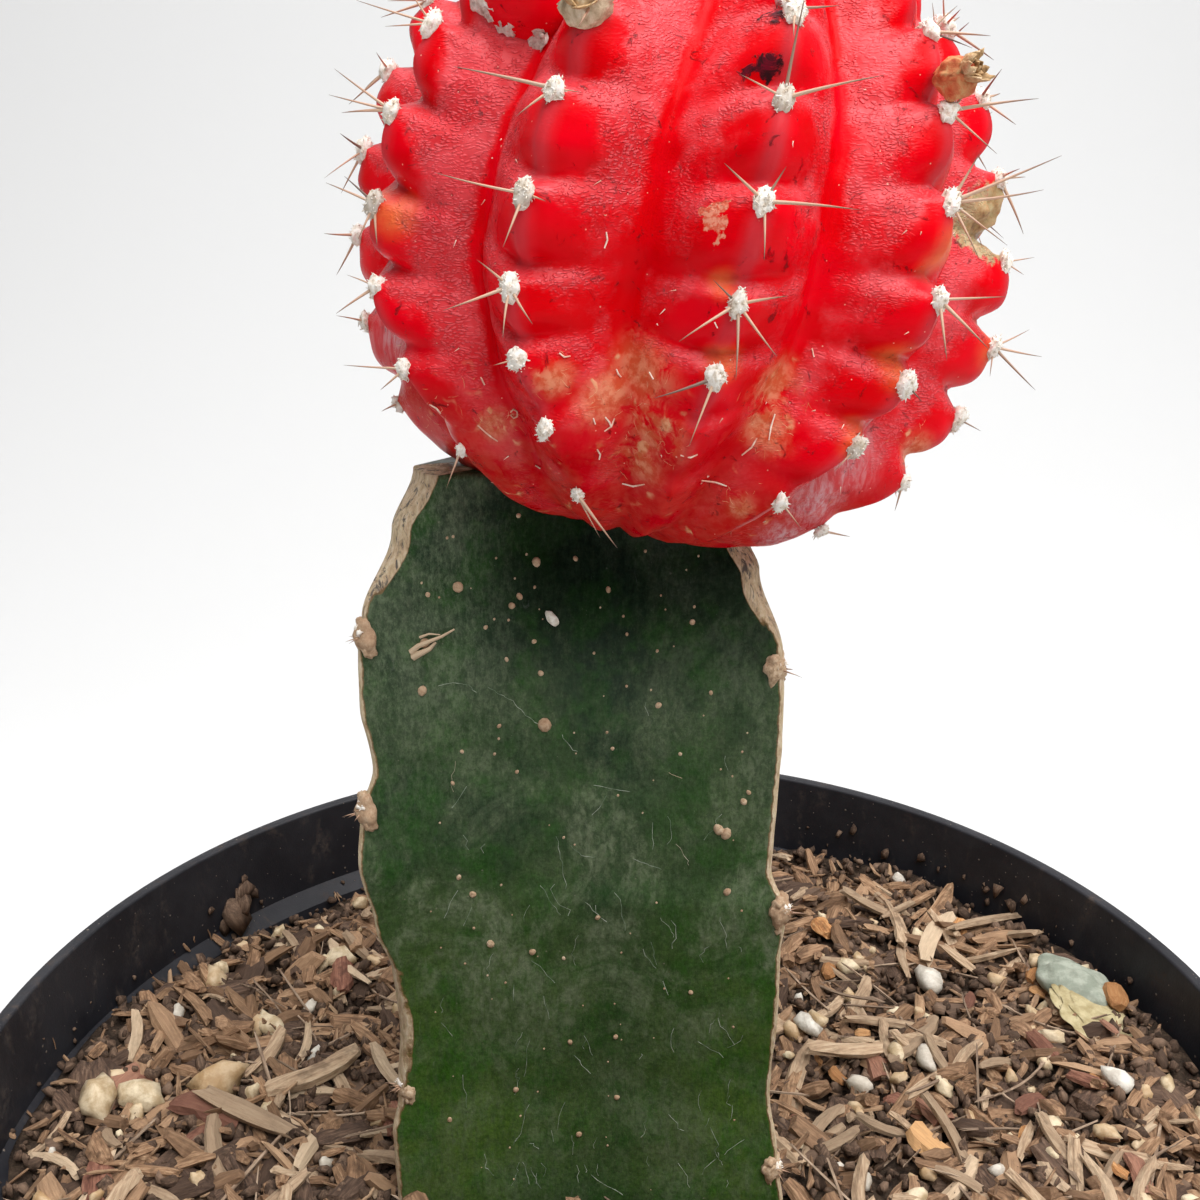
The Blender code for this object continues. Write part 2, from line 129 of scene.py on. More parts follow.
def lump(name, radii, detail, rough, seed, grain=1.0):
    # an uneven pebble, crumb or pad around the origin
    build = bmesh.new()
    bmesh.ops.create_icosphere(build, subdivisions=detail, radius=1.0)
    shift = Vector((seed * 7.3, seed * 3.1, seed * 1.7))
    for vertex in build.verts:
        swell = noise.noise(vertex.co * grain + shift) + 0.5 * noise.noise(vertex.co * 2.3 * grain + shift)
        vertex.co *= 1 + rough * swell
        vertex.co = Vector(c * r for c, r in zip(vertex.co, radii)) * mm
    return bpy.data.objects.new(name, builtMesh(name, build))


def chip(name, length, width, thick, seed, stations=5, sides=6):
    # a split sliver of wood: an uneven outline swept along X, with broken ends
    draw = random.Random(seed)
    bend = draw.uniform(-0.12, 0.12)
    points = []
    outline = [draw.uniform(0.75, 1.15) for _ in range(sides)]
    for s in range(stations):
        along = s / (stations - 1) - 0.5
        taper = 1 - draw.uniform(0.15, 0.55) * (abs(along) * 2) ** 3
        for i in range(sides):
            angle = 2 * math.pi * (i + 0.5) / sides
            reach = outline[i] * taper * draw.uniform(0.9, 1.1)
            jag = draw.uniform(-0.09, 0.09) if s in (0, stations - 1) else 0.0
            x = (along + jag) * length
            y = math.cos(angle) * reach * width / 2 + bend * length * (along * along * 4)
            points.append((x, y, math.sin(angle) * reach * thick / 2))
    faces = ringFaces(stations, sides)
    faces.append(tuple(reversed(range(sides))))
    faces.append(tuple(range((stations - 1) * sides, stations * sides)))
    piece = addMesh(name, points, faces, smooth=False)
    faceOutwards(piece.data)
    addValue(piece.data, "grain", points, "FLOAT_VECTOR")
    bpy.context.scene.collection.objects.unlink(piece)
    return piece


def kindsOf(name, pieces):
    # a collection of shapes that a tree picks from; dropAll removes it again
    kinds = bpy.data.collections.new(name)
    for piece in pieces:
        kinds.objects.link(piece)
    bpy.context.scene.collection.children.link(kinds)
    return kinds


def dropAll(kinds):
    for piece in list(kinds.objects):
        bpy.data.objects.remove(piece)
    bpy.data.collections.remove(kinds)


# Trees

def plug(tree, value, socket):
    if isinstance(value, bpy.types.NodeSocket):
        tree.links.new(value, socket)
    else:
        socket.default_value = value


def put(tree, kind, values=None, out=0, **settings):
    node = tree.nodes.new(kind)
    for name, value in settings.items():
        setattr(node, name, value)
    for name, value in (values or {}).items():
        plug(tree, value, node.inputs[name])
    return node.outputs[out]


def newTree(name, inputs):
    tree = bpy.data.node_groups.new(name, "GeometryNodeTree")
    tree.interface.new_socket("Geometry", in_out="INPUT", socket_type="NodeSocketGeometry")
    for label, kind in inputs:
        tree.interface.new_socket(label, in_out="INPUT", socket_type="NodeSocket" + kind)
    tree.interface.new_socket("Geometry", in_out="OUTPUT", socket_type="NodeSocketGeometry")
    return tree, tree.nodes.new("NodeGroupInput").outputs, tree.nodes.new("NodeGroupOutput").inputs


def randomIn(tree, low, high, seed, kind="FLOAT"):
    node = tree.nodes.new("FunctionNodeRandomValue")
    node.data_type = kind
    pair = {"FLOAT_VECTOR": (0, 1, 0), "FLOAT": (2, 3, 1)}[kind]
    plug(tree, low, node.inputs[pair[0]])
    plug(tree, high, node.inputs[pair[1]])
    plug(tree, seed, node.inputs["Seed"])
    return node.outputs[pair[2]]


def named(tree, name, kind="FLOAT_VECTOR"):
    return put(tree, "GeometryNodeInputNamedAttribute", {"Name": name}, data_type=kind)


def spreadOver(tree, given):
    spread = tree.nodes.new("GeometryNodeDistributePointsOnFaces")
    plug(tree, given["Geometry"], spread.inputs["Mesh"])
    plug(tree, given["Density"], spread.inputs["Density"])
    return spread


def turnedBy(tree, rotation, low, high):
    # a random further turn about the piece's own axes
    turn = put(tree, "FunctionNodeEulerToRotation", {"Euler": randomIn(tree, low, high, 5, "FLOAT_VECTOR")})
    return put(tree, "FunctionNodeRotateRotation", {"Rotation": rotation, "Rotate By": turn},
        rotation_space="LOCAL")


def putKinds(tree, given, points, turned, size):
    # one of the kinds on each point, each with its own tone
    kinds = put(tree, "GeometryNodeCollectionInfo", {"Collection": given["Kinds"],
        "Separate Children": True, "Reset Children": True})
    placed = put(tree, "GeometryNodeInstanceOnPoints", {"Points": points, "Instance": kinds,
        "Pick Instance": True, "Rotation": turned, "Scale": size})
    return put(tree, "GeometryNodeStoreNamedAttribute", {"Geometry": placed, "Name": "tone",
        "Value": randomIn(tree, 0.0, 1.0, 9)}, data_type="FLOAT", domain="INSTANCE")


def finishTree(tree, geometry, material, out):
    real = put(tree, "GeometryNodeRealizeInstances", {"Geometry": geometry})
    plug(tree, put(tree, "GeometryNodeSetMaterial", {"Geometry": real, "Material": material}),
        out["Geometry"])


def makeScatterTree():
    # loose pieces thrown on a surface
    tree, given, out = newTree("thrown on a surface", (("Density", "Float"), ("Seed", "Int"),
        ("Tilt", "Float"), ("Smallest", "Float"), ("Largest", "Float"), ("Lowest", "Float"),
        ("Highest", "Float"), ("Kinds", "Collection"), ("Material", "Material")))
    spread = spreadOver(tree, given)
    plug(tree, given["Seed"], spread.inputs["Seed"])
    lift = randomIn(tree, given["Lowest"], given["Highest"], 3)
    raised = put(tree, "ShaderNodeVectorMath", {"Vector": spread.outputs["Normal"], "Scale": lift},
        operation="SCALE")
    points = put(tree, "GeometryNodeSetPosition", {"Geometry": spread.outputs["Points"], "Offset": raised})
    back = put(tree, "ShaderNodeMath", {0: given["Tilt"], 1: -1.0}, operation="MULTIPLY")
    low = put(tree, "ShaderNodeCombineXYZ", {"X": back, "Y": back, "Z": 0.0})
    high = put(tree, "ShaderNodeCombineXYZ", {"X": given["Tilt"], "Y": given["Tilt"], "Z": 2 * math.pi})
    turned = turnedBy(tree, spread.outputs["Rotation"], low, high)
    size = randomIn(tree, given["Smallest"], given["Largest"], 7)
    finishTree(tree, putKinds(tree, given, points, turned, size), given["Material"], out)
    return tree


def makeSeatTree():
    # one piece on each point, its Z along "facing", its Y along "upward", scaled by "size"
    tree, given, out = newTree("seated on points", (("Kinds", "Collection"), ("Material", "Material")))
    facing = put(tree, "FunctionNodeAlignRotationToVector", {"Vector": named(tree, "facing")}, axis="Z")
    turned = put(tree, "FunctionNodeAlignRotationToVector",
        {"Rotation": facing, "Vector": named(tree, "upward")}, axis="Y", pivot_axis="Z")
    points = put(tree, "GeometryNodeMeshToPoints", {"Mesh": given["Geometry"]})
    finishTree(tree, putKinds(tree, given, points, turned, named(tree, "size")), given["Material"], out)
    return tree


def makeWoolTree():
    # short wool hairs all over the pads that they grow on
    tree, given, out = newTree("wool on pads", (("Density", "Float"), ("Smallest", "Float"),
        ("Largest", "Float"), ("Kinds", "Collection"), ("Material", "Material")))
    spread = spreadOver(tree, given)
    turned = turnedBy(tree, spread.outputs["Rotation"], (-0.9, -0.9, 0.0), (0.9, 0.9, 6.28))
    size = randomIn(tree, given["Smallest"], given["Largest"], 7)
    joined = tree.nodes.new("GeometryNodeJoinGeometry")
    tree.links.new(given["Geometry"], joined.inputs[0])
    tree.links.new(putKinds(tree, given, spread.outputs["Points"], turned, size), joined.inputs[0])
    finishTree(tree, joined.outputs[0], given["Material"], out)
    return tree


def makeStrandTree():
    # tapered strands along lines: spines, bristles, fibres and threads
    tree, given, out = newTree("strands along lines", (("Sides", "Int"), ("Material", "Material")))
    line = put(tree, "GeometryNodeMeshToCurve", {"Mesh": given["Geometry"]})
    circle = put(tree, "GeometryNodeCurvePrimitiveCircle", {"Resolution": given["Sides"], "Radius": 1.0})
    strand = put(tree, "GeometryNodeCurveToMesh", {"Curve": line, "Profile Curve": circle,
        "Scale": named(tree, "thick", "FLOAT"), "Fill Caps": True})
    smooth = put(tree, "GeometryNodeSetShadeSmooth", {"Geometry": strand})
    finishTree(tree, smooth, given["Material"], out)
    return tree


def grow(host, tree, name, **values):
    # runs the tree on the host and leaves a plain mesh
    modifier = host.modifiers.new(tree.name, "NODES")
    modifier.node_group = tree
    for item in tree.interface.items_tree:
        if item.in_out == "INPUT" and item.name in values:
            modifier[item.identifier] = values[item.name]
    bpy.context.view_layer.update()
    graph = bpy.context.evaluated_depsgraph_get()
    mesh = bpy.data.meshes.new_from_object(host.evaluated_get(graph), preserve_all_data_layers=True,
        depsgraph=graph)
    host.modifiers.clear()
    host.data = mesh
    host.name = mesh.name = name
    return host


def strandLines(name, paths):
    # paths: lists of (point, radius) in millimetres, with a tone for each path
    points, edges, thick, along, tone = [], [], [], [], []
    for path, shade in paths:
        for i, (point, radius) in enumerate(path):
            if i:
                edges.append((len(points) - 1, len(points)))
            points.append(tuple(Vector(point) * mm))
            thick.append(radius * mm)
            along.append(i / (len(path) - 1))
            tone.append(shade)
    mesh = bpy.data.meshes.new(name)
    mesh.from_pydata(points, edges, [])
    addValue(mesh, "thick", thick)
    addValue(mesh, "along", along)
    addValue(mesh, "tone", tone)
    return standing(name, mesh)


def seatPoints(name, seats):
    # seats: (point in millimetres, facing, upward, size)
    mesh = bpy.data.meshes.new(name)
    mesh.from_pydata([tuple(Vector(s[0]) * mm) for s in seats], [], [])
    for label, column in (("facing", 1), ("upward", 2), ("size", 3)):
        addValue(mesh, label, [tuple(s[column]) for s in seats], "FLOAT_VECTOR")
    return standing(name, mesh)


# Materials

def newMaterial(name, **shaderValues):
    material = bpy.data.materials.new(name)
    material.use_nodes = True
    tree = material.node_tree
    shader = tree.nodes["Principled BSDF"]
    dress(shader, **shaderValues)
    return material, tree, shader


def dress(shader, **values):
    # sets or links the shader's inputs, with _ for the space in a name
    for label, given in values.items():
        plug(shader.id_data, given, shader.inputs[label.replace("_", " ")])


def millimetres(tree, stretch=(1, 1, 1)):
    place = put(tree, "ShaderNodeTexCoord", out="Object")
    return put(tree, "ShaderNodeVectorMath", {0: place, 1: tuple(s / mm for s in stretch)},
        operation="MULTIPLY")


def grainPlace(tree, stretch):
    place = put(tree, "ShaderNodeAttribute", out="Vector", attribute_name="grain")
    tone = put(tree, "ShaderNodeAttribute", out="Fac", attribute_name="tone")
    away = put(tree, "ShaderNodeMath", {0: tone, 1: 57.0}, operation="MULTIPLY")
    scaled = put(tree, "ShaderNodeVectorMath", {0: place, 1: stretch}, operation="MULTIPLY")
    return put(tree, "ShaderNodeVectorMath", {0: scaled, 1: away}, operation="ADD")


def value(tree, name):
    return put(tree, "ShaderNodeAttribute", out="Fac", attribute_name=name)


# the helpers below find the tree through the socket that they are given, as its id_data

def noiseOf(where, scale, detail=4.0, roughness=0.55, distortion=0.0):
    return put(where.id_data, "ShaderNodeTexNoise", {"Vector": where, "Scale": scale, "Detail": detail,
        "Roughness": roughness, "Distortion": distortion})


def between(given, low, high, toLow=0.0, toHigh=1.0):
    return put(given.id_data, "ShaderNodeMapRange", {"Value": given, "From Min": low, "From Max": high,
        "To Min": toLow, "To Max": toHigh}, interpolation_type="SMOOTHSTEP")


def sums(operation, first, second=0.0):
    owner = first if isinstance(first, bpy.types.NodeSocket) else second
    return put(owner.id_data, "ShaderNodeMath", {0: first, 1: second}, operation=operation)


def times(first, second):
    return sums("MULTIPLY", first, second)


def plus(first, second):
    return sums("ADD", first, second)


def axisOf(way, axis):
    return put(way.id_data, "ShaderNodeSeparateXYZ", {"Vector": way}, out=axis)


def swirled(where, place, scale, detail, push):
    # the place pushed about by noise, so that a pattern drawn on it winds
    tree = where.id_data
    drift = put(tree, "ShaderNodeTexNoise", {"Vector": where, "Scale": scale, "Detail": detail},
        out="Color")
    pushed = put(tree, "ShaderNodeVectorMath", {"Vector": drift, "Scale": push}, operation="SCALE")
    return put(tree, "ShaderNodeVectorMath", {0: place, 1: pushed}, operation="ADD")


def frayed(name, grain, ragged, low, high):
    # a value's patch with its edge broken up by the grain
    ragged = between(grain, 0.3, 0.7, -ragged, ragged)
    return between(plus(value(grain.id_data, name), ragged), low, high)


def mixed(share, first, second, blend="MIX"):
    tree = share.id_data
    node = tree.nodes.new("ShaderNodeMix")
    node.data_type, node.blend_type = "RGBA", blend
    plug(tree, share, node.inputs[0])
    for given, socket in ((first, node.inputs[6]), (second, node.inputs[7])):
        plug(tree, (*given, 1) if isinstance(given, tuple) else given, socket)
    return node.outputs[2]


def colours(share, *stops):
    node = share.id_data.nodes.new("ShaderNodeValToRGB")
    plug(share.id_data, share, node.inputs["Fac"])
    band = node.color_ramp.elements
    while len(band) < len(stops):
        band.new(0.5)
    for element, (place, colour) in zip(band, stops):
        element.position, element.color = place, (*colour, 1)
    return node.outputs["Color"]


def relief(height, distance, strength=1.0, under=None):
    values = {"Height": height, "Distance": distance * mm, "Strength": strength}
    if under:
        values["Normal"] = under
    return put(height.id_data, "ShaderNodeBump", values)


def flecks(where, scale, share, size):
    # small round dots in a share of the cells
    tree = where.id_data
    near = put(tree, "ShaderNodeTexVoronoi", {"Vector": where, "Scale": scale}, out="Distance")
    pick = put(tree, "ShaderNodeSeparateColor", {"Color": near.node.outputs["Color"]})
    return times(between(near, size, size * 0.5), sums("LESS_THAN", pick, share))


# Stage, light and camera: the camera's place follows from the arc of the rim

view = {"place": (-1.335, -85.64, 150.28), "down": 18.74, "lens": 39.0, "sensor": 36.0, "nearest": 5.0,
    "picture": 1200}
sweep = {"wide": 1600.0, "front": -700.0, "bend": 260.0, "radius": 320.0, "high": 1100.0, "steps": 24}
light = {"keyPower": 4.6, "keySize": 520.0, "keyPlace": (150.0, -190.0, 600.0), "keyAim": (0.0, 0.0, 110.0),
    "backPower": 2.6, "backSize": 700.0, "backPlace": (0.0, 120.0, 900.0), "backAim": (0.0, 560.0, 300.0)}


def studioWorld():
    # bright overhead and to the right, dim on the camera's side
    world = bpy.data.worlds.new("studio")
    world.use_nodes = True
    tree = world.node_tree
    way = put(tree, "ShaderNodeTexCoord", out="Generated")
    overhead = between(axisOf(way, "Z"), 0.05, 1.0, 0.24, 0.85)
    behind = between(axisOf(way, "Y"), -0.9, 0.4, 0.45, 1.15)
    rightward = times(behind, between(axisOf(way, "X"), -1.0, 0.3, 0.62, 1.05))
    # past the floor's edge the surround is pale
    seen = put(tree, "ShaderNodeLightPath", out="Is Camera Ray")
    strength = sums("MAXIMUM", times(overhead, rightward), times(seen, 0.86))
    dress(tree.nodes["Background"], Strength=strength, Color=(1.0, 0.995, 0.985, 1))
    bpy.context.scene.world = world


def makeStage():
    # one pale sheet: the floor, swept up behind the pot
    material, _, _ = newMaterial("pale floor", Roughness=0.9, Base_Color=(0.78, 0.78, 0.78, 1))
    turn = np.linspace(0, math.pi / 2, sweep["steps"])
    line = [(sweep["front"], 0.0)]
    line += [(sweep["bend"] + sweep["radius"] * math.sin(a), sweep["radius"] * (1 - math.cos(a)))
        for a in turn]
    line += [(sweep["bend"] + sweep["radius"], sweep["high"])]
    points = [(x, y, z) for y, z in line for x in (-sweep["wide"], sweep["wide"])]
    faces = [(2 * i, 2 * i + 1, 2 * i + 3, 2 * i + 2) for i in range(len(line) - 1)]
    addMesh("floor", points, faces, material)

    studioWorld()
    for name in ("key", "back"):
        lamp = bpy.data.lights.new(name, "AREA")
        lamp.energy = light[name + "Power"]
        lamp.size = light[name + "Size"] * mm
        stand = standing(name, lamp)
        stand.location = Vector(light[name + "Place"]) * mm
        aim = Vector(light[name + "Aim"]) * mm
        stand.rotation_euler = (stand.location - aim).to_track_quat("Z", "Y").to_euler()

    camera = bpy.data.cameras.new("camera")
    camera.lens, camera.sensor_width = view["lens"], view["sensor"]
    camera.clip_start = view["nearest"] * mm
    stand = standing("camera", camera)
    stand.location = Vector(view["place"]) * mm
    stand.rotation_euler = (math.radians(90 - view["down"]), 0, 0)
    bpy.context.scene.camera = stand
    bpy.context.scene.view_settings.view_transform = "Standard"
    print("stage, light and camera stand")


def sightTo(x, y):
    # the way from the camera to a place in the picture, in the picture's points
    down, middle = math.radians(view["down"]), view["picture"] / 2
    away = view["picture"] * view["lens"] / view["sensor"]
    forward = Vector((0, math.cos(down), -math.sin(down)))
    upward = Vector((0, math.sin(down), math.cos(down)))
    across = Vector(((x - middle) / away, 0, 0))
    return (forward + across + upward * ((middle - y) / away)).normalized()


# Pot

pot = {"height": 85.0, "rim": 50.0, "rimWall": 1.2, "bead": 2.4, "collarDrop": 8.4, "collarStep": 1.4,
    "collarWall": 0.5, "lip": 0.3, "base": 34.6, "wall": 1.2, "floorUnder": 1.8, "floorTop": 3.2,
    "foot": 3.2, "drains": 6, "drainRadius": 3.5, "drainCircle": 21.0, "sides": 256}
rimInside = pot["rim"] - pot["rimWall"]
collarInside = rimInside - pot["collarWall"]
wallInside = collarInside - pot["collarStep"]
stepTop = pot["height"] - pot["collarDrop"]
stepLow = stepTop - pot["collarStep"]
floorInside = pot["base"] - pot["wall"]


def innerRadius(height):
    if height >= stepTop:
        return collarInside + (rimInside - collarInside) * (height - stepTop) / pot["collarDrop"]
    if height >= stepLow:
        return wallInside + height - stepLow
    flared = (wallInside - floorInside) * (height - pot["floorTop"])
    return floorInside + flared / (stepLow - pot["floorTop"])


def blackPlastic():
    material, tree, shader = newMaterial("black pot plastic", Specular_IOR_Level=0.3)
    where = millimetres(tree)
    cloud = noiseOf(where, 0.16, 6.0, 0.6)
    fine = noiseOf(where, 1.9, 6.0, 0.65)
    plain = mixed(between(cloud, 0.35, 0.7), (0.014, 0.014, 0.018), (0.026, 0.026, 0.031))
    smear = noiseOf(millimetres(tree, (1, 1, 0.45)), 0.42, 5.0, 0.62, 0.6)
    dust = times(between(smear, 0.52, 0.74), between(fine, 0.38, 0.62))
    dusty = mixed(times(dust, 0.34), plain, (0.16, 0.115, 0.085))
    grit = sums("MAXIMUM", flecks(where, 1.1, 0.13, 0.16), flecks(where, 2.6, 0.08, 0.2))
    gritty = mixed(times(grit, 0.5), dusty, (0.3, 0.24, 0.19))
    skin = relief(noiseOf(where, 5.0, 3.0), 0.025, 0.6)
    dress(shader, Base_Color=gritty, Normal=relief(grit, 0.08, 0.7, skin),
        Roughness=between(plus(fine, dust), 0.3, 1.3, 0.44, 0.78))
    return material


def makePot(material):
    outside = pot["rim"] - 0.7
    top, rim, lip, base = pot["height"], pot["rim"], pot["lip"], pot["base"]
    arc = [(math.cos(a), math.sin(a)) for a in np.radians((15, 35, 55, 75))]     # the rounding of the lip
    profile = [(floorInside - 0.8, pot["floorTop"]), (floorInside, pot["floorTop"] + 0.9),
        (wallInside, stepLow), (collarInside, stepTop), (rimInside, top - lip)]
    profile += [(rimInside + lip - lip * c, top - lip + lip * s) for c, s in arc]
    profile += [(rim - lip + lip * c, top - lip + lip * s) for c, s in reversed(arc)]
    profile += [(rim, top - lip), (rim, top - pot["bead"] + 0.15), (rim - 0.15, top - pot["bead"]),
        (outside + 0.12, top - pot["bead"] - 0.42), (outside, top - pot["bead"] - 0.75),
        (outside - 0.19, stepLow - 1.1), (outside - 0.4, stepLow - 1.45),
        (wallInside + pot["wall"], stepLow - 2.0), (base + 0.3, 0.8), (base + 0.2, 0.25), (base, 0),
        (base - pot["foot"], 0), (base - pot["foot"] - 0.5, pot["floorUnder"])]
    sides = pot["sides"]
    turns = [2 * math.pi * i / sides for i in range(sides)]
    points = [(*spun(r, a), z) for r, z in profile for a in turns]
    # the profile runs from the inner floor up, over the rim and down: reversed, its rings face outwards
    faces = [tuple(reversed(face)) for face in ringFaces(len(profile), sides)]
    points += [(0, 0, pot["floorTop"]), (0, 0, pot["floorUnder"])]
    faces += capFaces(len(points) - 2, 0, sides, True)
    faces += capFaces(len(points) - 1, (len(profile) - 1) * sides, sides, False)
    piece = addMesh("pot_moulding", points, faces, material)
    piece.data.set_sharp_from_angle(angle=math.radians(32))
    holes = []
    for i in range(pot["drains"]):
        angle = 2 * math.pi * i / pot["drains"]
        build = bmesh.new()
        bmesh.ops.create_cone(build, cap_ends=True, segments=40, radius1=pot["drainRadius"] * mm,
            radius2=pot["drainRadius"] * mm, depth=10 * mm)
        x, y = spun(pot["drainCircle"], angle)
        bmesh.ops.translate(build, vec=(x * mm, y * mm, pot["floorTop"] * mm), verts=build.verts)
        holes.append(bpy.data.objects.new("drain", builtMesh("drain", build, False)))
    drains = kindsOf("drains", holes)
    punch = piece.modifiers.new("drains", "BOOLEAN")
    punch.operation, punch.solver = "DIFFERENCE", "EXACT"
    punch.operand_type, punch.collection = "COLLECTION", drains
    bpy.context.view_layer.update()
    graph = bpy.context.evaluated_depsgraph_get()
    mesh = bpy.data.meshes.new_from_object(piece.evaluated_get(graph), depsgraph=graph)
    piece.modifiers.clear()
    piece.data = mesh
    dropAll(drains)
    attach(piece, "root")
    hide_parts("pot")
    print("pot turned, with", pot["drains"], "drain holes")


# Rootstock

stem = {"x": -3.0, "y": 0.4, "top": 131.6, "foot": 48.0, "edge": 0.42, "taper": 0.24, "reach": 15.5,
    "hollow": 0.9, "crown": 0.25, "sharper": 0.28, "sharperTrim": 0.1, "step": 0.45, "faceColumns": 26,
    "face": 7.9, "specksBehind": 90, "fineSpecks": 80, "bristles": 5, "scratches": 70,
    "chip": (-4.43, 122.25)}
# outlines of the ribs: (height, reach from the axis)
leftRib = ((48, 11.5), (62, 14.2), (75.6, 15.0), (82.2, 15.1), (85.3, 14.4), (91.2, 13.9), (95.7, 14.3),
    (99.7, 15.5), (104.8, 16.4), (108.6, 16.1), (111.8, 14.9), (116.5, 15.6), (120.7, 15.5), (122.5, 15.0),
    (127.8, 12.3), (131.6, 10.3))
rightRib = ((48, 11.5), (62, 15.2), (76.5, 17.1), (80.3, 16.5), (86.2, 15.6), (93.3, 15.9), (97.5, 15.9),
    (101.2, 16.2), (104.2, 14.8), (108.8, 15.0), (113.4, 15.2), (117.0, 15.2), (120.2, 14.9), (125.2, 12.7),
    (127.4, 11.5), (131.6, 9.8))
backRib = ((48, 11.5), (62, 14.6), (76, 15.8), (84, 14.9), (90, 16.2), (97, 15.0), (104, 15.3), (111, 16.3),
    (116, 15.1), (120, 15.3), (125, 13.2), (131.6, 9.8))
# each rib's direction, its outline and the heights of its areoles
stemRibs = ((90, backRib, (90.0, 111.0, 120.8)), (210, leftRib, (86.0, 108.9, 121.2)),
    (330, rightRib, (79.5, 101.2, 118.9)))


def ribReach(outline, height):
    for (low, near), (high, far) in zip(outline, outline[1:]):
        if height <= high:
            share = max(0.0, (height - low) / (high - low))
            return near + (far - near) * share * share * (3 - 2 * share)
    return outline[-1][1]


def stemRing(height):
    # points of one cross-section, with how near each is to a corky edge and how far that edge was trimmed
    tips = []
    for direction, outline, _ in stemRibs:
        reach = ribReach(outline, height)
        trim = max(0.0, stem["reach"] - reach)
        half = stem["edge"] + stem["taper"] * trim
        reach += stem["sharper"] + stem["sharperTrim"] * trim
        out = Vector(spun(1, math.radians(direction)))
        wide = float(ease(trim, 0.5, 2.0))  # the cork spreads where the edge was trimmed
        tips.append((out * reach, Vector((-out.y, out.x)) * half, out, wide))
    ring, edge, trimmed = [], [], []
    rim = [-1.0, -0.93, -0.72, -0.4, 0.0, 0.4, 0.72, 0.93, 1.0]
    columns = stem["faceColumns"]
    for (tip, half, out, wide), (nextTip, nextHalf, nextOut, nextWide) in zip(tips, tips[1:] + tips[:1]):
        wobble = 0.1 * noise.noise(Vector((out.x * 9, out.y * 9, height * 0.55)))
        for share in rim:
            swell = stem["crown"] * (1 - share * share) + wobble * (1 - abs(share))
            bevel = 0.22 * abs(share) ** 6
            ring.append(tip + half * share + out * (swell - bevel))
            edge.append(1.0 - (1 - wide) * 0.7 * float(ease(abs(share), 0.5, 1.0)))
            trimmed.append(float(ease(height, 119.5, 124.5)))
        start, end = tip + half - out * 0.22, nextTip - nextHalf - nextOut * 0.22
        inwards = -(out + nextOut).normalized()
        span = (end - start).length
        for i in range(1, columns):
            # columns lie closer together beside the edges
            share = 0.5 - 0.5 * math.cos(math.pi * i / columns)
            hollow = stem["hollow"] * math.sin(math.pi * share)
            point = start.lerp(end, share) + inwards * hollow
            away = min(share, 1 - share) * span
            ripple = 0.1 * noise.noise(Vector((point.x * 0.35, point.y * 0.35, height * 0.22)))
            ripple += 0.03 * noise.noise(Vector((point.x * 1.6, point.y * 1.6, height * 0.5)))
            ring.append(point - inwards * ripple * min(1.0, away / 1.5))
            edge.append(float(1 - ease(away, 0.0, 0.48))
                * (0.3 + 0.7 * (wide if share < 0.5 else nextWide)))
            trimmed.append(0.0)
    return [(stem["x"] + p.x, stem["y"] + p.y, height) for p in ring], edge, trimmed


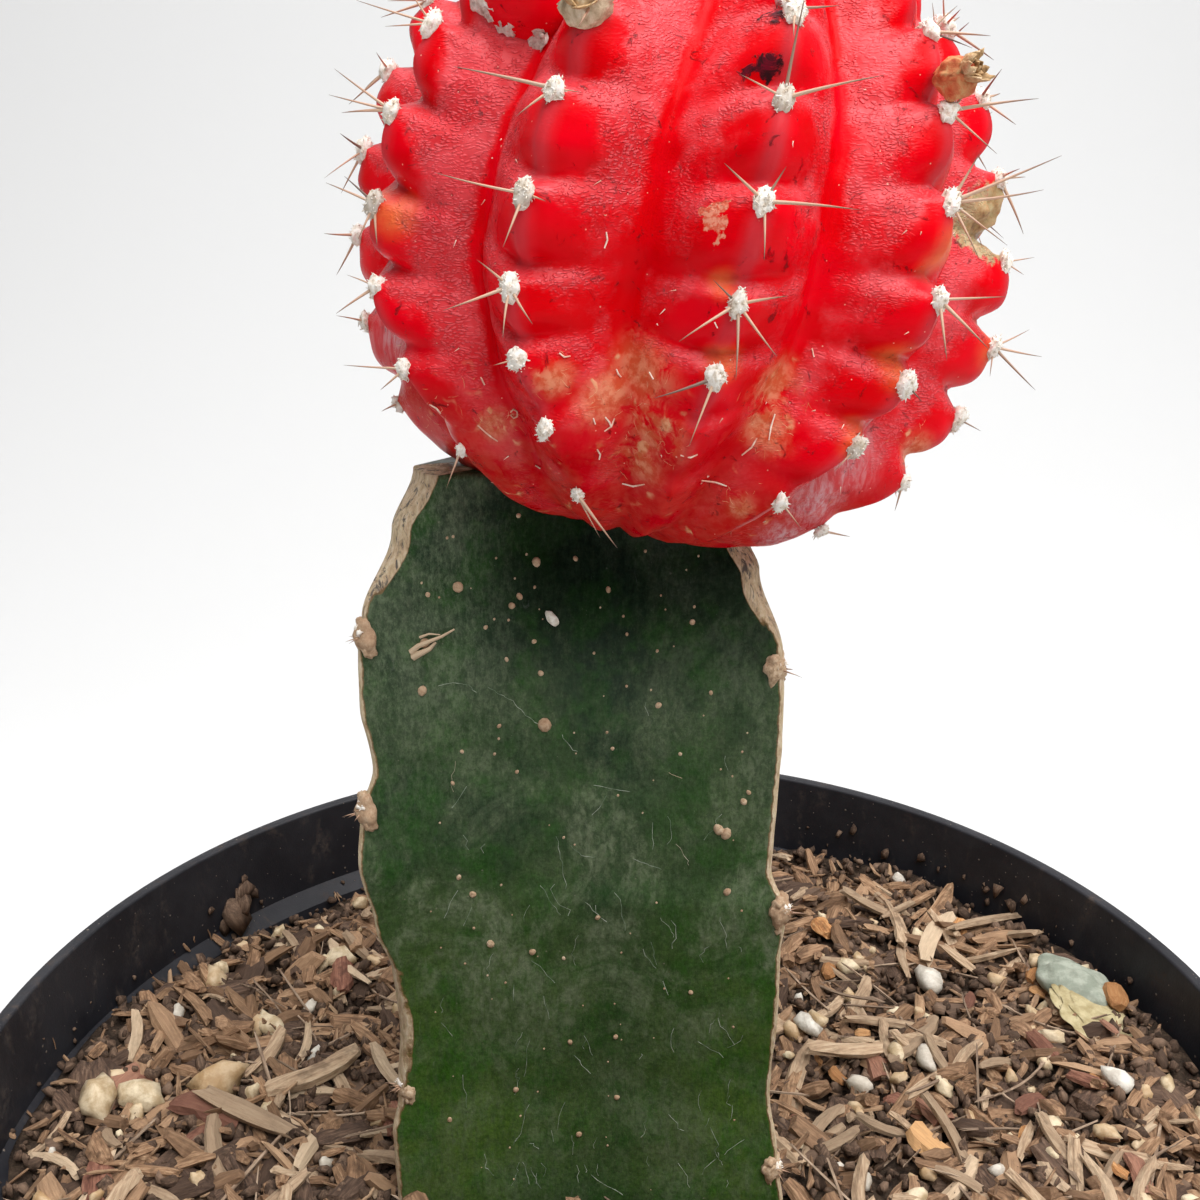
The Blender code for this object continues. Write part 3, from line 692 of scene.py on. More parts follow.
def greenSkin():
    material, tree, shader = newMaterial("waxy green skin", Subsurface_Weight=0.08,
        Subsurface_Radius=(0.3, 1.0, 0.2), Subsurface_Scale=1.2 * mm)
    where = millimetres(tree)
    height, across = axisOf(where, "Z"), axisOf(where, "X")
    broad = noiseOf(where, 0.09, 4.0, 0.55)
    # the green darkens towards the top: partly the skin's deeper green there, partly painted shade under the
    # globe
    lit = plus(height, between(broad, 0.3, 0.7, -11.0, 11.0))
    green = colours(between(lit, 74.0, 128.0), (0.0, (0.06, 0.118, 0.026)), (0.4, (0.052, 0.105, 0.028)),
        (0.72, (0.026, 0.062, 0.02)), (1.0, (0.017, 0.042, 0.018)))
    patch = between(noiseOf(where, 0.3, 4.0, 0.6), 0.46, 0.62, 0.0, 0.75)
    vivid = mixed(patch, green, (0.024, 0.098, 0.01))
    stripe = noiseOf(millimetres(tree, (1, 1, 0.16)), 2.6, 5.0, 0.65)
    # a darker, bluer band down the hollow of each face, and brighter flanks low down
    aside = sums("ABSOLUTE", plus(across, between(broad, 0.3, 0.7, -0.6, 2.6)))
    vivid = mixed(between(aside, 4.0, 0.0, 0.0, 0.6), vivid, (0.52, 0.66, 0.86), "MULTIPLY")
    bright = times(between(aside, 4.0, 8.5), between(height, 104.0, 88.0))
    vivid = mixed(bright, vivid, (1.28, 1.3, 0.85), "MULTIPLY")
    shadow = between(noiseOf(where, 0.75, 6.0, 0.72, 0.6), 0.34, 0.56, 0.75, 0.0)
    vivid = mixed(shadow, vivid, (0.5, 0.58, 0.5), "MULTIPLY")
    striped = mixed(between(stripe, 0.42, 0.68, 0.0, 0.4), vivid, (0.044, 0.082, 0.034))
    # dried water marks: a mottled whitish haze in cloudy patches
    cloud = noiseOf(millimetres(tree, (1, 1, 0.7)), 0.14, 6.0, 0.68, 0.8)
    mottle = between(noiseOf(millimetres(tree, (1, 1, 0.55)), 1.5, 7.0, 0.72, 0.7), 0.36, 0.66, 0.2, 1.0)
    bloom = times(between(cloud, 0.42, 0.62), mottle)
    midway = between(sums("ABSOLUTE", sums("SUBTRACT", height, 101.0)), 16.0, 3.0, 0.4, 1.0)
    haze = times(times(bloom, midway), 0.92)
    hazy = mixed(haze, striped, (0.215, 0.26, 0.155))
    # a fine frosting in grains and short upright streaks all over
    sand = between(noiseOf(millimetres(tree, (1, 1, 0.45)), 2.4, 6.0, 0.85), 0.42, 0.72)
    sandy = times(sand, between(cloud, 0.3, 0.7, 0.25, 0.75))
    hazy = mixed(sandy, hazy, (0.13, 0.175, 0.085))
    scuff = between(noiseOf(millimetres(tree, (1, 1, 0.35)), 1.15, 7.0, 0.72, 1.9), 0.63, 0.72)
    scuffed = mixed(times(scuff, 0.3), hazy, (0.24, 0.27, 0.22))
    pale = sums("MAXIMUM", flecks(where, 0.95, 0.14, 0.085), flecks(where, 3.6, 0.12, 0.11))
    dotted = mixed(times(pale, 0.5), scuffed, (0.32, 0.29, 0.22))
    sparkle = times(flecks(where, 4.6, 0.22, 0.13), between(across, 1.0, 8.0))
    dotted = mixed(times(sparkle, 0.45), dotted, (0.3, 0.36, 0.28))
    # painted shadow of the globe: darker and duller close under it, but for a sandy patch at the left edge
    inside = between(across, -11.5, -4.5)
    under = times(between(height, 115.0, 126.0), inside)
    grainy = noiseOf(where, 3.4, 4.0, 0.75)
    shaded = mixed(between(grainy, 0.3, 0.7, 0.8, 0.0), dotted, (0.42, 0.45, 0.42), "MULTIPLY")
    sandHigh = times(sand, between(height, 106.0, 120.0, 0.0, 0.6))
    lifted = times(sums("SUBTRACT", 1.0, inside), sandHigh)
    patched = mixed(lifted, shaded, (0.15, 0.2, 0.12))
    # painted shadow of the globe over the top of the stem
    dotted = mixed(times(under, 0.95), patched, (0.26, 0.28, 0.34), "MULTIPLY")
    # the tan cork along the ribs, with a browner line where it meets the green
    waver = noiseOf(where, 0.8, 4.0, 0.6)
    near = plus(value(tree, "edge"), between(waver, 0.25, 0.75, -0.16, 0.16))
    cork = between(near, 0.7, 0.8)
    line = times(between(near, 0.6, 0.72), between(near, 0.9, 0.78))
    fibre = noiseOf(millimetres(tree, (1, 1, 0.3)), 3.4, 5.0, 0.7)
    tan = colours(fibre, (0.25, (0.34, 0.22, 0.12)), (0.5, (0.6, 0.46, 0.3)), (0.75, (0.76, 0.66, 0.5)))
    streak = between(noiseOf(millimetres(tree, (1, 1, 0.25)), 2.1, 5.0, 0.72, 0.8), 0.5, 0.62)
    grey = mixed(times(streak, value(tree, "trimmed")), tan, (0.12, 0.105, 0.09))
    corky = mixed(cork, dotted, grey)
    lined = mixed(times(line, 0.7), corky, (0.235, 0.13, 0.055))
    shine = times(between(bloom, 0.0, 1.0, 0.2, 0.36), between(under, 0.0, 1.0, 1.0, 0.15))
    rough = plus(between(cork, 0.0, 1.0, 0.0, 0.3), between(plus(stripe, bloom), 0.3, 1.2, 0.36, 0.58))
    skin = relief(noiseOf(where, 4.2, 3.0, 0.6), 0.06, 0.6, relief(stripe, 0.08, 0.6))
    skin = relief(times(cork, fibre), 0.22, 0.8, skin)
    dress(shader, Base_Color=lined, Specular_IOR_Level=shine, Roughness=rough, Normal=skin)
    return material


def makeRootstock(material):
    heights = list(np.arange(stem["foot"], stem["top"], stem["step"])) + [stem["top"]]
    points, edge, trimmed = [], [], []
    for height in heights:
        ring, near, cut = stemRing(height)
        points += ring
        edge += near
        trimmed += cut
    columns = len(ring)
    faces = ringFaces(len(heights), columns)
    points += [(stem["x"], stem["y"], stem["foot"]), (stem["x"], stem["y"], stem["top"])]
    faces += capFaces(len(points) - 2, 0, columns, False)
    faces += capFaces(len(points) - 1, (len(heights) - 1) * columns, columns, True)
    piece = addMesh("stem_flesh", points, faces, material)
    addValue(piece.data, "edge", edge + [0, 0])
    addValue(piece.data, "trimmed", trimmed + [0, 0])
    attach(piece, "root")
    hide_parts("rootstock")
    print("stem lofted through", len(heights), "cross-sections")
    return piece


def treeOf(piece):
    return BVHTree.FromPolygons([v.co / mm for v in piece.data.vertices],
        [p.vertices for p in piece.data.polygons])


def corkMaterial():
    material, tree, shader = newMaterial("tan cork", Roughness=0.82)
    where = millimetres(tree)
    grain = noiseOf(where, 3.2, 6.0, 0.68)
    tan = colours(grain, (0.3, (0.26, 0.15, 0.08)), (0.5, (0.54, 0.38, 0.24)), (0.72, (0.74, 0.6, 0.44)))
    toned = mixed(between(value(tree, "tone"), 0.0, 1.0, 0.0, 0.55), tan, (0.36, 0.21, 0.12))
    dress(shader, Base_Color=toned, Normal=relief(grain, 0.12, 0.8))
    return material


def bristleMaterial():
    material, tree, shader = newMaterial("straw spines", Roughness=0.45)
    along = value(tree, "along")
    base = colours(along, (0.0, (0.6, 0.42, 0.3)), (0.5, (0.54, 0.33, 0.22)), (0.82, (0.27, 0.16, 0.1)),
        (1.0, (0.12, 0.065, 0.045)))
    darker = mixed(between(value(tree, "tone"), 0.72, 1.0, 0.0, 0.8), base, (0.075, 0.045, 0.04))
    dress(shader, Base_Color=darker, Normal=relief(noiseOf(millimetres(tree), 9.0, 2.0), 0.02, 0.4))
    return material


# corky specks on the front of the stem: (x, height, radius)
frontSpecks = ((-10.4, 124.4, 0.35), (-5.4, 125.9, 0.28), (-7.0, 123.1, 0.22), (-6.5, 123.7, 0.19),
    (-2.9, 126.1, 0.15), (-6.5, 128.9, 0.16), (-3.0, 129.6, 0.12), (-0.8, 124.1, 0.16), (4.6, 122.1, 0.19),
    (-5.6, 120.7, 0.16), (-5.2, 118.5, 0.19), (-7.4, 119.5, 0.13), (-12.3, 124.0, 0.16),
    (-11.0, 127.6, 0.09), (-8.7, 121.7, 0.13), (-5.0, 114.8, 0.46), (-8.0, 114.8, 0.13),
    (-10.5, 113.0, 0.13), (-6.9, 111.4, 0.13), (-11.2, 110.7, 0.13), (-7.5, 85.6, 0.22), (-6.1, 97.4, 0.25),
    (-10.1, 102.3, 0.24), (-9.0, 98.2, 0.28), (-11.0, 103.7, 0.17), (-1.5, 100.3, 0.17), (7.4, 102.6, 0.24),
    (5.1, 94.3, 0.18), (-0.2, 90.2, 0.18), (-0.1, 84.9, 0.22), (6.7, 107.3, 0.34), (7.2, 107.0, 0.36),
    (8.3, 109.5, 0.23), (2.5, 116.3, 0.2), (-0.5, 113.1, 0.13), (5.9, 117.3, 0.13), (0.4, 121.2, 0.1),
    (0.4, 117.6, 0.1), (8.6, 110.2, 0.15), (4.0, 112.8, 0.13), (-3.5, 89.7, 0.18), (-2.9, 81.7, 0.22),
    (-12.4, 83.3, 0.18), (-3.9, 96.8, 0.14), (-12.9, 117.5, 0.3), (-12.6, 120.8, 0.34))
# torn threads of skin there, each a line of (x, height)
frontThreads = (((-11.9, 117.8), (-10.9, 118.0), (-9.9, 117.8), (-9.3, 117.1)),
    ((-8.6, 117.6), (-7.9, 117.1), (-7.1, 116.6), (-6.4, 115.7), (-5.6, 115.0), (-5.1, 114.7)),
    ((3.3, 108.2), (3.6, 106.8), (3.2, 105.8)), ((3.9, 106.1), (4.6, 105.0), (4.8, 104.3)),
    ((-3.4, 105.9), (-2.6, 105.1), (-1.4, 104.9)), ((0.9, 104.9), (2.1, 104.4), (3.2, 104.0)),
    ((-4.3, 106.6), (-4.0, 104.9), (-3.8, 103.5), (-3.6, 102.2)), ((6.9, 112.8), (7.2, 111.4)),
    ((3.2, 111.4), (4.4, 110.9)), ((-5.4, 102.8), (-4.6, 101.3), (-3.9, 100.2)),
    ((6.9, 100.7), (7.4, 99.2), (7.5, 97.8)), ((2.8, 100.4), (3.6, 99.5), (3.9, 98.6)),
    ((-8.9, 97.4), (-9.3, 96.1), (-9.1, 94.8)), ((-2.9, 98.8), (-3.3, 97.2), (-3.0, 95.9)),
    ((-10.9, 112.3), (-11.3, 110.9), (-11.2, 109.8)), ((-3.9, 114.1), (-3.2, 113.0), (-2.7, 112.8)),
    ((1.6, 116.5), (1.9, 115.2)), ((-1.7, 110.4), (-0.3, 110.1), (1.0, 109.9)))
# the scar's curled lines, each with its thickness
curledScar = ((((-13.5, 120.2), (-13.0, 120.7), (-12.3, 121.0), (-11.5, 121.3), (-10.7, 121.7)), 0.2),
    (((-13.4, 119.9), (-12.9, 120.2), (-12.3, 120.5), (-11.9, 120.9)), 0.26),
    (((-12.9, 121.2), (-12.3, 121.5), (-11.6, 121.4)), 0.09))


def onFront(surface, x, z):
    hit, normal, _, _ = surface.ray_cast(Vector((x, -40, z)), Vector((0, 1, 0)))
    return (hit, normal) if hit else (None, None)


def stemSpecks(surface, draw, cork, seatTree):
    # corky specks: in front each at its place with finer ones between, and as many on the two other faces
    seats = []
    for x, z, radius in frontSpecks:
        hit, normal = onFront(surface, x, z)
        if hit:
            upward = (draw.uniform(-1, 1), 0, 1)
            seats.append((hit, normal, upward, (radius, radius * draw.uniform(1, 1.35), radius)))
    for i in range(stem["specksBehind"]):
        angle = math.radians(draw.uniform(-30, 210))
        z = draw.uniform(77, 129)
        out = Vector((*spun(1, angle), 0))
        middle = Vector((stem["x"], stem["y"], z))
        hit, normal, _, _ = surface.ray_cast(middle + out * 40, -out)
        radius = 0.1 + 0.22 * draw.random() ** 2.5
        if hit:
            seats.append((hit, normal, (0.2, 0.3, 1), (radius, radius * 1.2, radius)))
    for i in range(stem["fineSpecks"]):
        x, z = draw.uniform(-14, 9.5), draw.uniform(77, 129)
        hit, normal = onFront(surface, x, z)
        radius = draw.uniform(0.045, 0.1)
        if hit:
            seats.append((hit, normal, (0.2, 0.3, 1), (radius, radius * 1.2, radius * 0.8)))
    kinds = kindsOf("speck kinds", [lump(f"speck{i}", (1, 1, 0.7), 2, 0.14, i + 3, 1.2) for i in range(4)])
    specks = grow(seatPoints("stem_specks", seats), seatTree, "stem_specks", Kinds=kinds, Material=cork)
    dropAll(kinds)
    return specks


def stemKnobs(draw, cork, straw, seatTree, strandTree):
    # knobs of the areoles, each with a few bristles and the seat of a tuft of pale wool
    seats, paths, tufts = [], [], []
    for direction, outline, heights in stemRibs:
        out = Vector((*spun(1, math.radians(direction)), 0))
        for height in heights:
            seat = Vector((stem["x"], stem["y"], height)) + out * (ribReach(outline, height) + 0.05)
            side = out.cross(Vector((0, 0, 1)))
            seats.append((seat, out, (0, 0, 1), (0.92, 1.25, 0.8)))
            for dx, dz, size in ((0.35, 0.75, 0.5), (-0.4, -0.7, 0.55), (0.15, -1.25, 0.36)):
                seats.append((seat + side * dx + Vector((0, 0, dz)), out, (0, 0, 1),
                    (size, size * 1.2, size)))
            tufts.append((seat + Vector((0, 0, 0.45)) + out * 0.35, out, (0, 0, 1), (0.5, 0.42, 0.4)))
            for i in range(stem["bristles"]):
                way = out + side * draw.uniform(-0.9, 0.9) + Vector((0, 0, draw.uniform(-0.2, 0.9)))
                way.normalize()
                length = draw.uniform(0.7, 1.7)
                path = [(seat + out * 0.3 + way * length * s - Vector((0, 0, 0.2 * s * s)),
                    0.075 * (1.05 - s)) for s in (0, 0.35, 0.7, 1)]
                paths.append((path, draw.uniform(0.0, 0.8)))
    kinds = kindsOf("knob kinds", [lump(f"knob{i}", (1, 1, 0.9), 3, 0.4, i + 11, 1.5) for i in range(4)])
    knobs = grow(seatPoints("stem_areole_knobs", seats), seatTree, "stem_areole_knobs", Kinds=kinds,
        Material=cork)
    dropAll(kinds)
    bristles = grow(strandLines("stem_bristles", paths), strandTree, "stem_bristles", Sides=6,
        Material=straw)
    return knobs, bristles, tufts


def stemThreads(surface, draw, strandTree):
    # torn threads of skin on the front
    paths = []
    for line in frontThreads:
        path = []
        for (x, z), (nextX, nextZ) in zip(line, line[1:]):
            for share in (0, 0.25, 0.5, 0.75):
                wave = 0.07 * math.sin(9 * share + x * 3 + z)
                hit, normal = onFront(surface, x + (nextX - x) * share + wave, z + (nextZ - z) * share)
                if hit:
                    path.append((hit, draw.uniform(0.01, 0.024)))
        paths.append((path, draw.random()))
    # short faint scratches, most of them low down
    for i in range(stem["scratches"]):
        x, z = draw.uniform(-13, 9.5), 78 + 34 * draw.random() ** 1.2
        way = Vector((draw.gauss(0, 0.5), 0, -1)).normalized() * draw.uniform(0.25, 0.6)
        path = []
        for step in range(draw.randint(3, 6)):
            hit, normal = onFront(surface, x, z)
            if hit:
                path.append((hit - normal * 0.003, draw.uniform(0.014, 0.03)))
            x, z = x + way.x + draw.gauss(0, 0.18), z + way.z + draw.gauss(0, 0.12)
        if len(path) > 1:
            paths.append((path, draw.uniform(0.0, 0.6)))
    # the curled scar near the left edge
    for line, thick in curledScar:
        path = []
        for i, (x, z) in enumerate(line):
            hit, normal = onFront(surface, x, z)
            if hit:
                path.append((hit + normal * 0.3 * math.sin(math.pi * i / len(line)),
                    thick * (1.1 - i / len(line))))
        paths.append((path, 1.0))
    return grow(strandLines("stem_threads", paths), strandTree, "stem_threads", Sides=5,
        Material=threadMaterial())


def stemChip(surface, seatTree):
    # the pale chip stuck to the front
    hit, normal = onFront(surface, *stem["chip"])
    turn = Vector((-0.82, 0, 1.09)).normalized()
    kinds = kindsOf("rod kinds", [lump("rod", (0.32, 0.62, 0.26), 3, 0.16, 5, 1.2)])
    rod = grow(seatPoints("stem_pale_chip", [(hit + normal * 0.12, normal, turn, (1, 1, 1))]), seatTree,
        "stem_pale_chip", Kinds=kinds, Material=chalkMaterial())
    dropAll(kinds)
    return rod


def dressStem(piece, cork, straw, seatTree, strandTree):
    surface = treeOf(piece)
    draw = random.Random(31)
    specks = stemSpecks(surface, draw, cork, seatTree)
    knobs, bristles, tufts = stemKnobs(draw, cork, straw, seatTree, strandTree)
    threads = stemThreads(surface, draw, strandTree)
    rod = stemChip(surface, seatTree)
    for part in (specks, knobs, bristles, threads, rod):
        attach(part, "root")
    print("stem dressed with", len(specks.data.polygons) // 80 // 4, "specks, its knobs and its threads")
    return tufts


def threadMaterial():
    material, tree, shader = newMaterial("torn skin threads", Roughness=0.6)
    shade = noiseOf(millimetres(tree), 1.2, 3.0)
    faint = mixed(between(shade, 0.35, 0.65), (0.1, 0.15, 0.09), (0.4, 0.44, 0.36))
    tan = between(value(tree, "tone"), 0.85, 1.0)
    dress(shader, Base_Color=mixed(tan, faint, (0.56, 0.42, 0.28)))
    return material


def chalkMaterial():
    material, tree, shader = newMaterial("chalky chip", Roughness=0.7)
    shade = noiseOf(millimetres(tree), 4.0, 4.0)
    chalk = mixed(between(shade, 0.35, 0.65), (0.62, 0.57, 0.46), (0.86, 0.84, 0.76))
    dress(shader, Base_Color=chalk, Normal=relief(shade, 0.08, 0.7))
    return material


# Soil

soil = {"drop": 9.8, "slopeX": 0.045, "slopeY": -0.03, "dish": 0.0012, "bump": 0.6, "gap": 0.3}
# heaps: (x, y, height, radius)
heaps = ((22.0, 40.0, 1.9, 17.0), (-22.0, 41.0, 0.9, 12.0), (-37.0, 29.0, 0.8, 13.0),
    (-45.0, 8.0, 1.4, 15.0))


def soilHeight(x, y):
    wave = (math.sin(x / 5.1 + 1.0) * math.cos(y / 6.3) + 0.6 * math.sin(x / 2.9 - y / 3.7)
        + 0.5 * math.cos(y / 2.6 + x / 8.9))
    level = pot["height"] - soil["drop"] + soil["dish"] * x * x
    heap = sum(high * math.exp(-((x - hx) ** 2 + (y - hy) ** 2) / (r * r)) for hx, hy, high, r in heaps)
    return level + soil["slopeX"] * x + soil["slopeY"] * y + soil["bump"] * wave + heap


def compost():
    material, tree, shader = newMaterial("dark compost", Roughness=0.95, Specular_IOR_Level=0.25)
    where = millimetres(tree)
    clod = noiseOf(where, 0.9, 8.0, 0.7)
    earth = colours(clod, (0.3, (0.018, 0.011, 0.008)), (0.5, (0.055, 0.035, 0.023)),
        (0.7, (0.13, 0.085, 0.055)))
    lumps = relief(noiseOf(where, 4.0, 5.0), 0.25, 0.8, relief(clod, 0.8, 1.0))
    dress(shader, Base_Color=earth, Normal=lumps)
    return material


def woodMaterial(name, dark, mid, pale, roughness=0.8):
    # fibres run along each chip, and each chip has its own tone
    material, tree, shader = newMaterial(name, Specular_IOR_Level=0.3)
    fibre = noiseOf(grainPlace(tree, (0.55, 5.0, 5.0)), 1.0, 6.0, 0.7)
    blotch = noiseOf(grainPlace(tree, (0.9, 1.1, 1.1)), 1.0, 3.0, 0.6)
    wood = colours(fibre, (0.32, dark), (0.5, mid), (0.68, pale))
    tone = value(tree, "tone")
    dirty = mixed(between(blotch, 0.5, 0.72, 0.0, 0.6), wood, tuple(c * 0.45 for c in dark))
    shaded = mixed(between(tone, 0.0, 0.55, 0.7, 0.0), dirty, tuple(c * 0.55 for c in mid))
    dress(shader, Base_Color=mixed(between(tone, 0.72, 1.0, 0.0, 0.6), shaded, pale),
        Roughness=between(fibre, 0.3, 0.7, roughness - 0.12, roughness + 0.1),
        Normal=relief(fibre, 0.16, 0.9))
    return material


def stoneMaterial(name, dark, pale, roughness, stain):
    material, tree, shader = newMaterial(name, Specular_IOR_Level=0.45)
    where = millimetres(tree)
    cloud = noiseOf(where, 0.7, 6.0, 0.62)
    stone = mixed(between(cloud, 0.35, 0.65), dark, pale)
    stained = between(value(tree, "tone"), 0.3, 1.0, 0.0, 0.5)
    rough = between(noiseOf(where, 3.0, 4.0), 0.3, 0.7, roughness - 0.12, roughness + 0.15)
    dress(shader, Base_Color=mixed(stained, stone, stain), Roughness=rough,
        Normal=relief(noiseOf(where, 2.4, 6.0, 0.65), 0.16, 0.7))
    return material


def soilPatch(name, margin, clear):
    # the part of the surface that pieces are thrown on: inside the wall by a margin, and clear of the stem
    rings, sides = 46, 120
    points, keep = [], []
    for ring in range(rings + 1):
        for i in range(sides):
            angle = 2 * math.pi * i / sides
            reach = (collarInside - 0.6 - margin) * (0.06 + 0.94 * ring / rings)
            x, y = spun(reach, angle)
            z = soilHeight(x, y)
            across = math.hypot(x, y)
            if z < stepTop:
                limit = innerRadius(max(z, stepLow)) - margin
                if across > limit:
                    x, y = x * limit / across, y * limit / across
            points.append((x, y, z))
            keep.append(stemDistance(x, y) > clear)
    faces = []
    for ring in range(rings):
        for i in range(sides):
            j = (i + 1) % sides
            quad = (ring * sides + i, (ring + 1) * sides + i, (ring + 1) * sides + j, ring * sides + j)
            if all(keep[q] for q in quad):
                faces.append(quad)
    return addMesh(name, points, faces)


def stemDistance(x, y):
    # how far a place on the soil lies outside the stem's triangular section, in millimetres
    px, py = x - stem["x"], y - stem["y"]
    worst = -1e9
    for direction in (30, 150, 270):
        out = Vector(spun(1, math.radians(direction)))
        worst = max(worst, px * out.x + py * out.y - stem["face"])
    return worst


mixKinds = {
    # name: pieces per square metre, seed, tilt, smallest, largest, lowest, highest, margin, clear
    "soil_fine_crumbs": (1.25e6, 3, 1.5, 0.3, 1.5, -0.3, 0.7, 0.5, 0.2),
    "soil_dark_bark": (0.07e6, 5, 0.4, 0.45, 1.25, -0.6, 0.4, 2.0, 1.0),
    "soil_wood_chunks": (0.17e6, 43, 0.7, 0.4, 1.3, -0.3, 0.8, 1.7, 0.9),
    "soil_wood_slivers": (0.060e6, 8, 0.5, 0.4, 1.2, -0.1, 0.9, 2.0, 1.0),
    "soil_splinters": (0.30e6, 47, 0.8, 0.5, 1.3, -0.1, 0.8, 1.0, 0.5),
    "soil_pale_slivers": (0.034e6, 11, 0.45, 0.45, 1.35, 0.2, 1.1, 2.4, 1.2),
    "soil_red_bark": (0.0035e6, 21, 0.3, 0.6, 1.2, 0.0, 0.5, 3.0, 2.0),
    "soil_fibres": (0.030e6, 23, 0.35, 0.6, 1.3, 0.4, 1.2, 3.2, 1.2),
    "soil_cream_stones": (0.026e6, 29, 1.5, 0.35, 1.25, 0.1, 0.8, 1.6, 1.0),
    "soil_white_grains": (0.0035e6, 37, 1.5, 0.4, 1.0, 0.2, 0.7, 1.4, 0.8),
}
# pieces that stand out in the mix, each at its own place: x, y, turn in degrees, size, lift
singles = {
    "soil_cream_stones": ((-42.8, 2.6, 20, 2.3, 1.2), (-39.4, 3.2, 70, 2.1, 1.0),
        (-33.4, 5.0, 120, 2.2, 1.1), (-38.0, 20.0, 10, 1.5, 0.9), (-31.5, 14.5, 40, 1.6, 1.0),
        (-27.0, 24.5, 90, 1.5, 0.9)),
    "soil_red_bark": ((-26.4, 22.6, 8, 1.1, 1.0), (-33.4, 1.6, 75, 1.3, 1.0), (41.6, 6.6, 30, 0.35, 1.8)),
    "soil_pale_slivers": ((-25.2, 5.6, -52, 1.8, 1.4), (-30.0, 0.6, 66, 1.8, 1.4),
        (31.0, 24.0, 150, 1.5, 1.2), (22.0, 8.0, 105, 1.6, 1.2)),
    "soil_white_grains": ((29.5, 18.0, 0, 1.9, 1.0), (17.2, 11.4, 30, 1.5, 1.0), (20.5, 4.4, 60, 1.3, 1.0),
        (26.2, 5.8, 10, 1.4, 1.0), (40.0, 0.5, 50, 1.4, 1.0)),
    "soil_orange_chips": ((20.5, 25.5, 20, 1.0, 1.0), (44.0, 11.8, -10, 1.1, 1.6),
        (24.0, -3.5, 35, 1.2, 0.9), (34.0, 26.0, -25, 1.1, 0.8)),
    "soil_green_stone": ((42.0, 14.4, 38, 1.2, 1.3),),
    "soil_moss_leaf": ((41.4, 9.6, 14, 1.1, 1.2),),
}
# the paler part of the mix in front on the right: count, smallest, largest
palerMix = (("soil_cream_stones", 32, 0.4, 1.2), ("soil_pale_slivers", 34, 0.5, 1.1),
    ("soil_orange_chips", 12, 0.3, 0.8), ("soil_red_bark", 6, 0.3, 0.8))


def makeSoilBed():
    rings, sides = 70, 220
    points = [(0, 0, soilHeight(0, 0))]
    for ring in range(1, rings + 1):
        for i in range(sides):
            angle = 2 * math.pi * i / sides
            reach = (collarInside - 0.5) * ring / rings
            x, y = spun(reach, angle)
            z = soilHeight(x, y)
            limit = innerRadius(z) - soil["gap"]
            if reach > limit:
                x, y = spun(limit, angle)
            rough = noise.fractal(Vector((x, y, 3.0)) * 0.45, 1.0, 2.1, 4)
            points.append((x, y, z - 0.35 + 0.5 * rough * (1 - ring / rings * 0.4)))
    faces = [(0, 1 + i, 1 + (i + 1) % sides) for i in range(sides)]
    faces += [tuple(reversed(f)) for f in ringFaces(rings, sides, 1)]
    last = 1 + (rings - 1) * sides
    for height in (stepLow - 1.0, 40.0, pot["floorTop"] + soil["gap"]):
        first = len(points)
        radius = innerRadius(height) - soil["gap"]
        points += [(*spun(radius, 2 * math.pi * i / sides), height) for i in range(sides)]
        faces += [(first + i, first + (i + 1) % sides, last + (i + 1) % sides, last + i)
            for i in range(sides)]
        last = first
    points.append((0, 0, pot["floorTop"] + soil["gap"]))
    faces += [(last + (i + 1) % sides, last + i, len(points) - 1) for i in range(sides)]
    ground = addMesh("soil_bed", points, faces, compost())
    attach(ground, "root")
    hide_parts("soil")


def soilSingles(shapes):
    # seats of the pieces that are laid one by one
    alone = {name: [] for name in shapes}
    for name, places in singles.items():
        for x, y, turn, size, lift in places:
            along = (*spun(1, math.radians(turn)), 0.12)
            alone[name].append(((x, y, soilHeight(x, y) + lift), (0.1, -0.12, 1), along,
                (size, size, size)))
    draw = random.Random(71)
    for name, count, small, large in palerMix:
        for i in range(count):
            x, y, turn = draw.uniform(14, 45), draw.uniform(-14, 20), draw.uniform(0, 2 * math.pi)
            if math.hypot(x, y) < 44 and stemDistance(x, y) > 2:
                size = draw.uniform(small, large)
                place = (x, y, soilHeight(x, y) + draw.uniform(0.6, 1.2))
                facing, along = (draw.uniform(-0.5, 0.5), -0.2, 1), (*spun(1, turn), 0.1)
                alone[name].append((place, facing, along, (size, size, size)))
    return alone


def makeSoil(scatterTree, seatTree):
    makeSoilBed()
    materials, shapes = soilMaterials(), soilShapes()
    for kindShapes in shapes.values():
        for shape in kindShapes:
            if "grain" not in shape.data.attributes:
                addValue(shape.data, "grain", [tuple(v.co / mm) for v in shape.data.vertices],
                    "FLOAT_VECTOR")
    alone = soilSingles(shapes)
    for name, kindShapes in shapes.items():
        kinds = kindsOf(name + " kinds", kindShapes)
        pieces = []
        if name in mixKinds:
            density, seed, tilt, small, large, low, high, margin, clear = mixKinds[name]
            pieces.append(grow(soilPatch(name, margin, clear), scatterTree, name, Density=density,
                Seed=seed, Tilt=tilt, Smallest=small, Largest=large, Lowest=low * mm, Highest=high * mm,
                Kinds=kinds, Material=materials[name]))
        if alone[name]:
            pieces.append(grow(seatPoints(name + "_single", alone[name]), seatTree, name + "_single",
                Kinds=kinds, Material=materials[name]))
        if name in wallKinds:
            pieces.append(grow(seatPoints(name + "_on_wall", wallSeats(name)), seatTree, name + "_on_wall",
                Kinds=kinds, Material=materials[name]))
        dropAll(kinds)
        for piece in pieces:
            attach(piece, "root")
            print(piece.name, "laid:", len(piece.data.polygons), "faces")


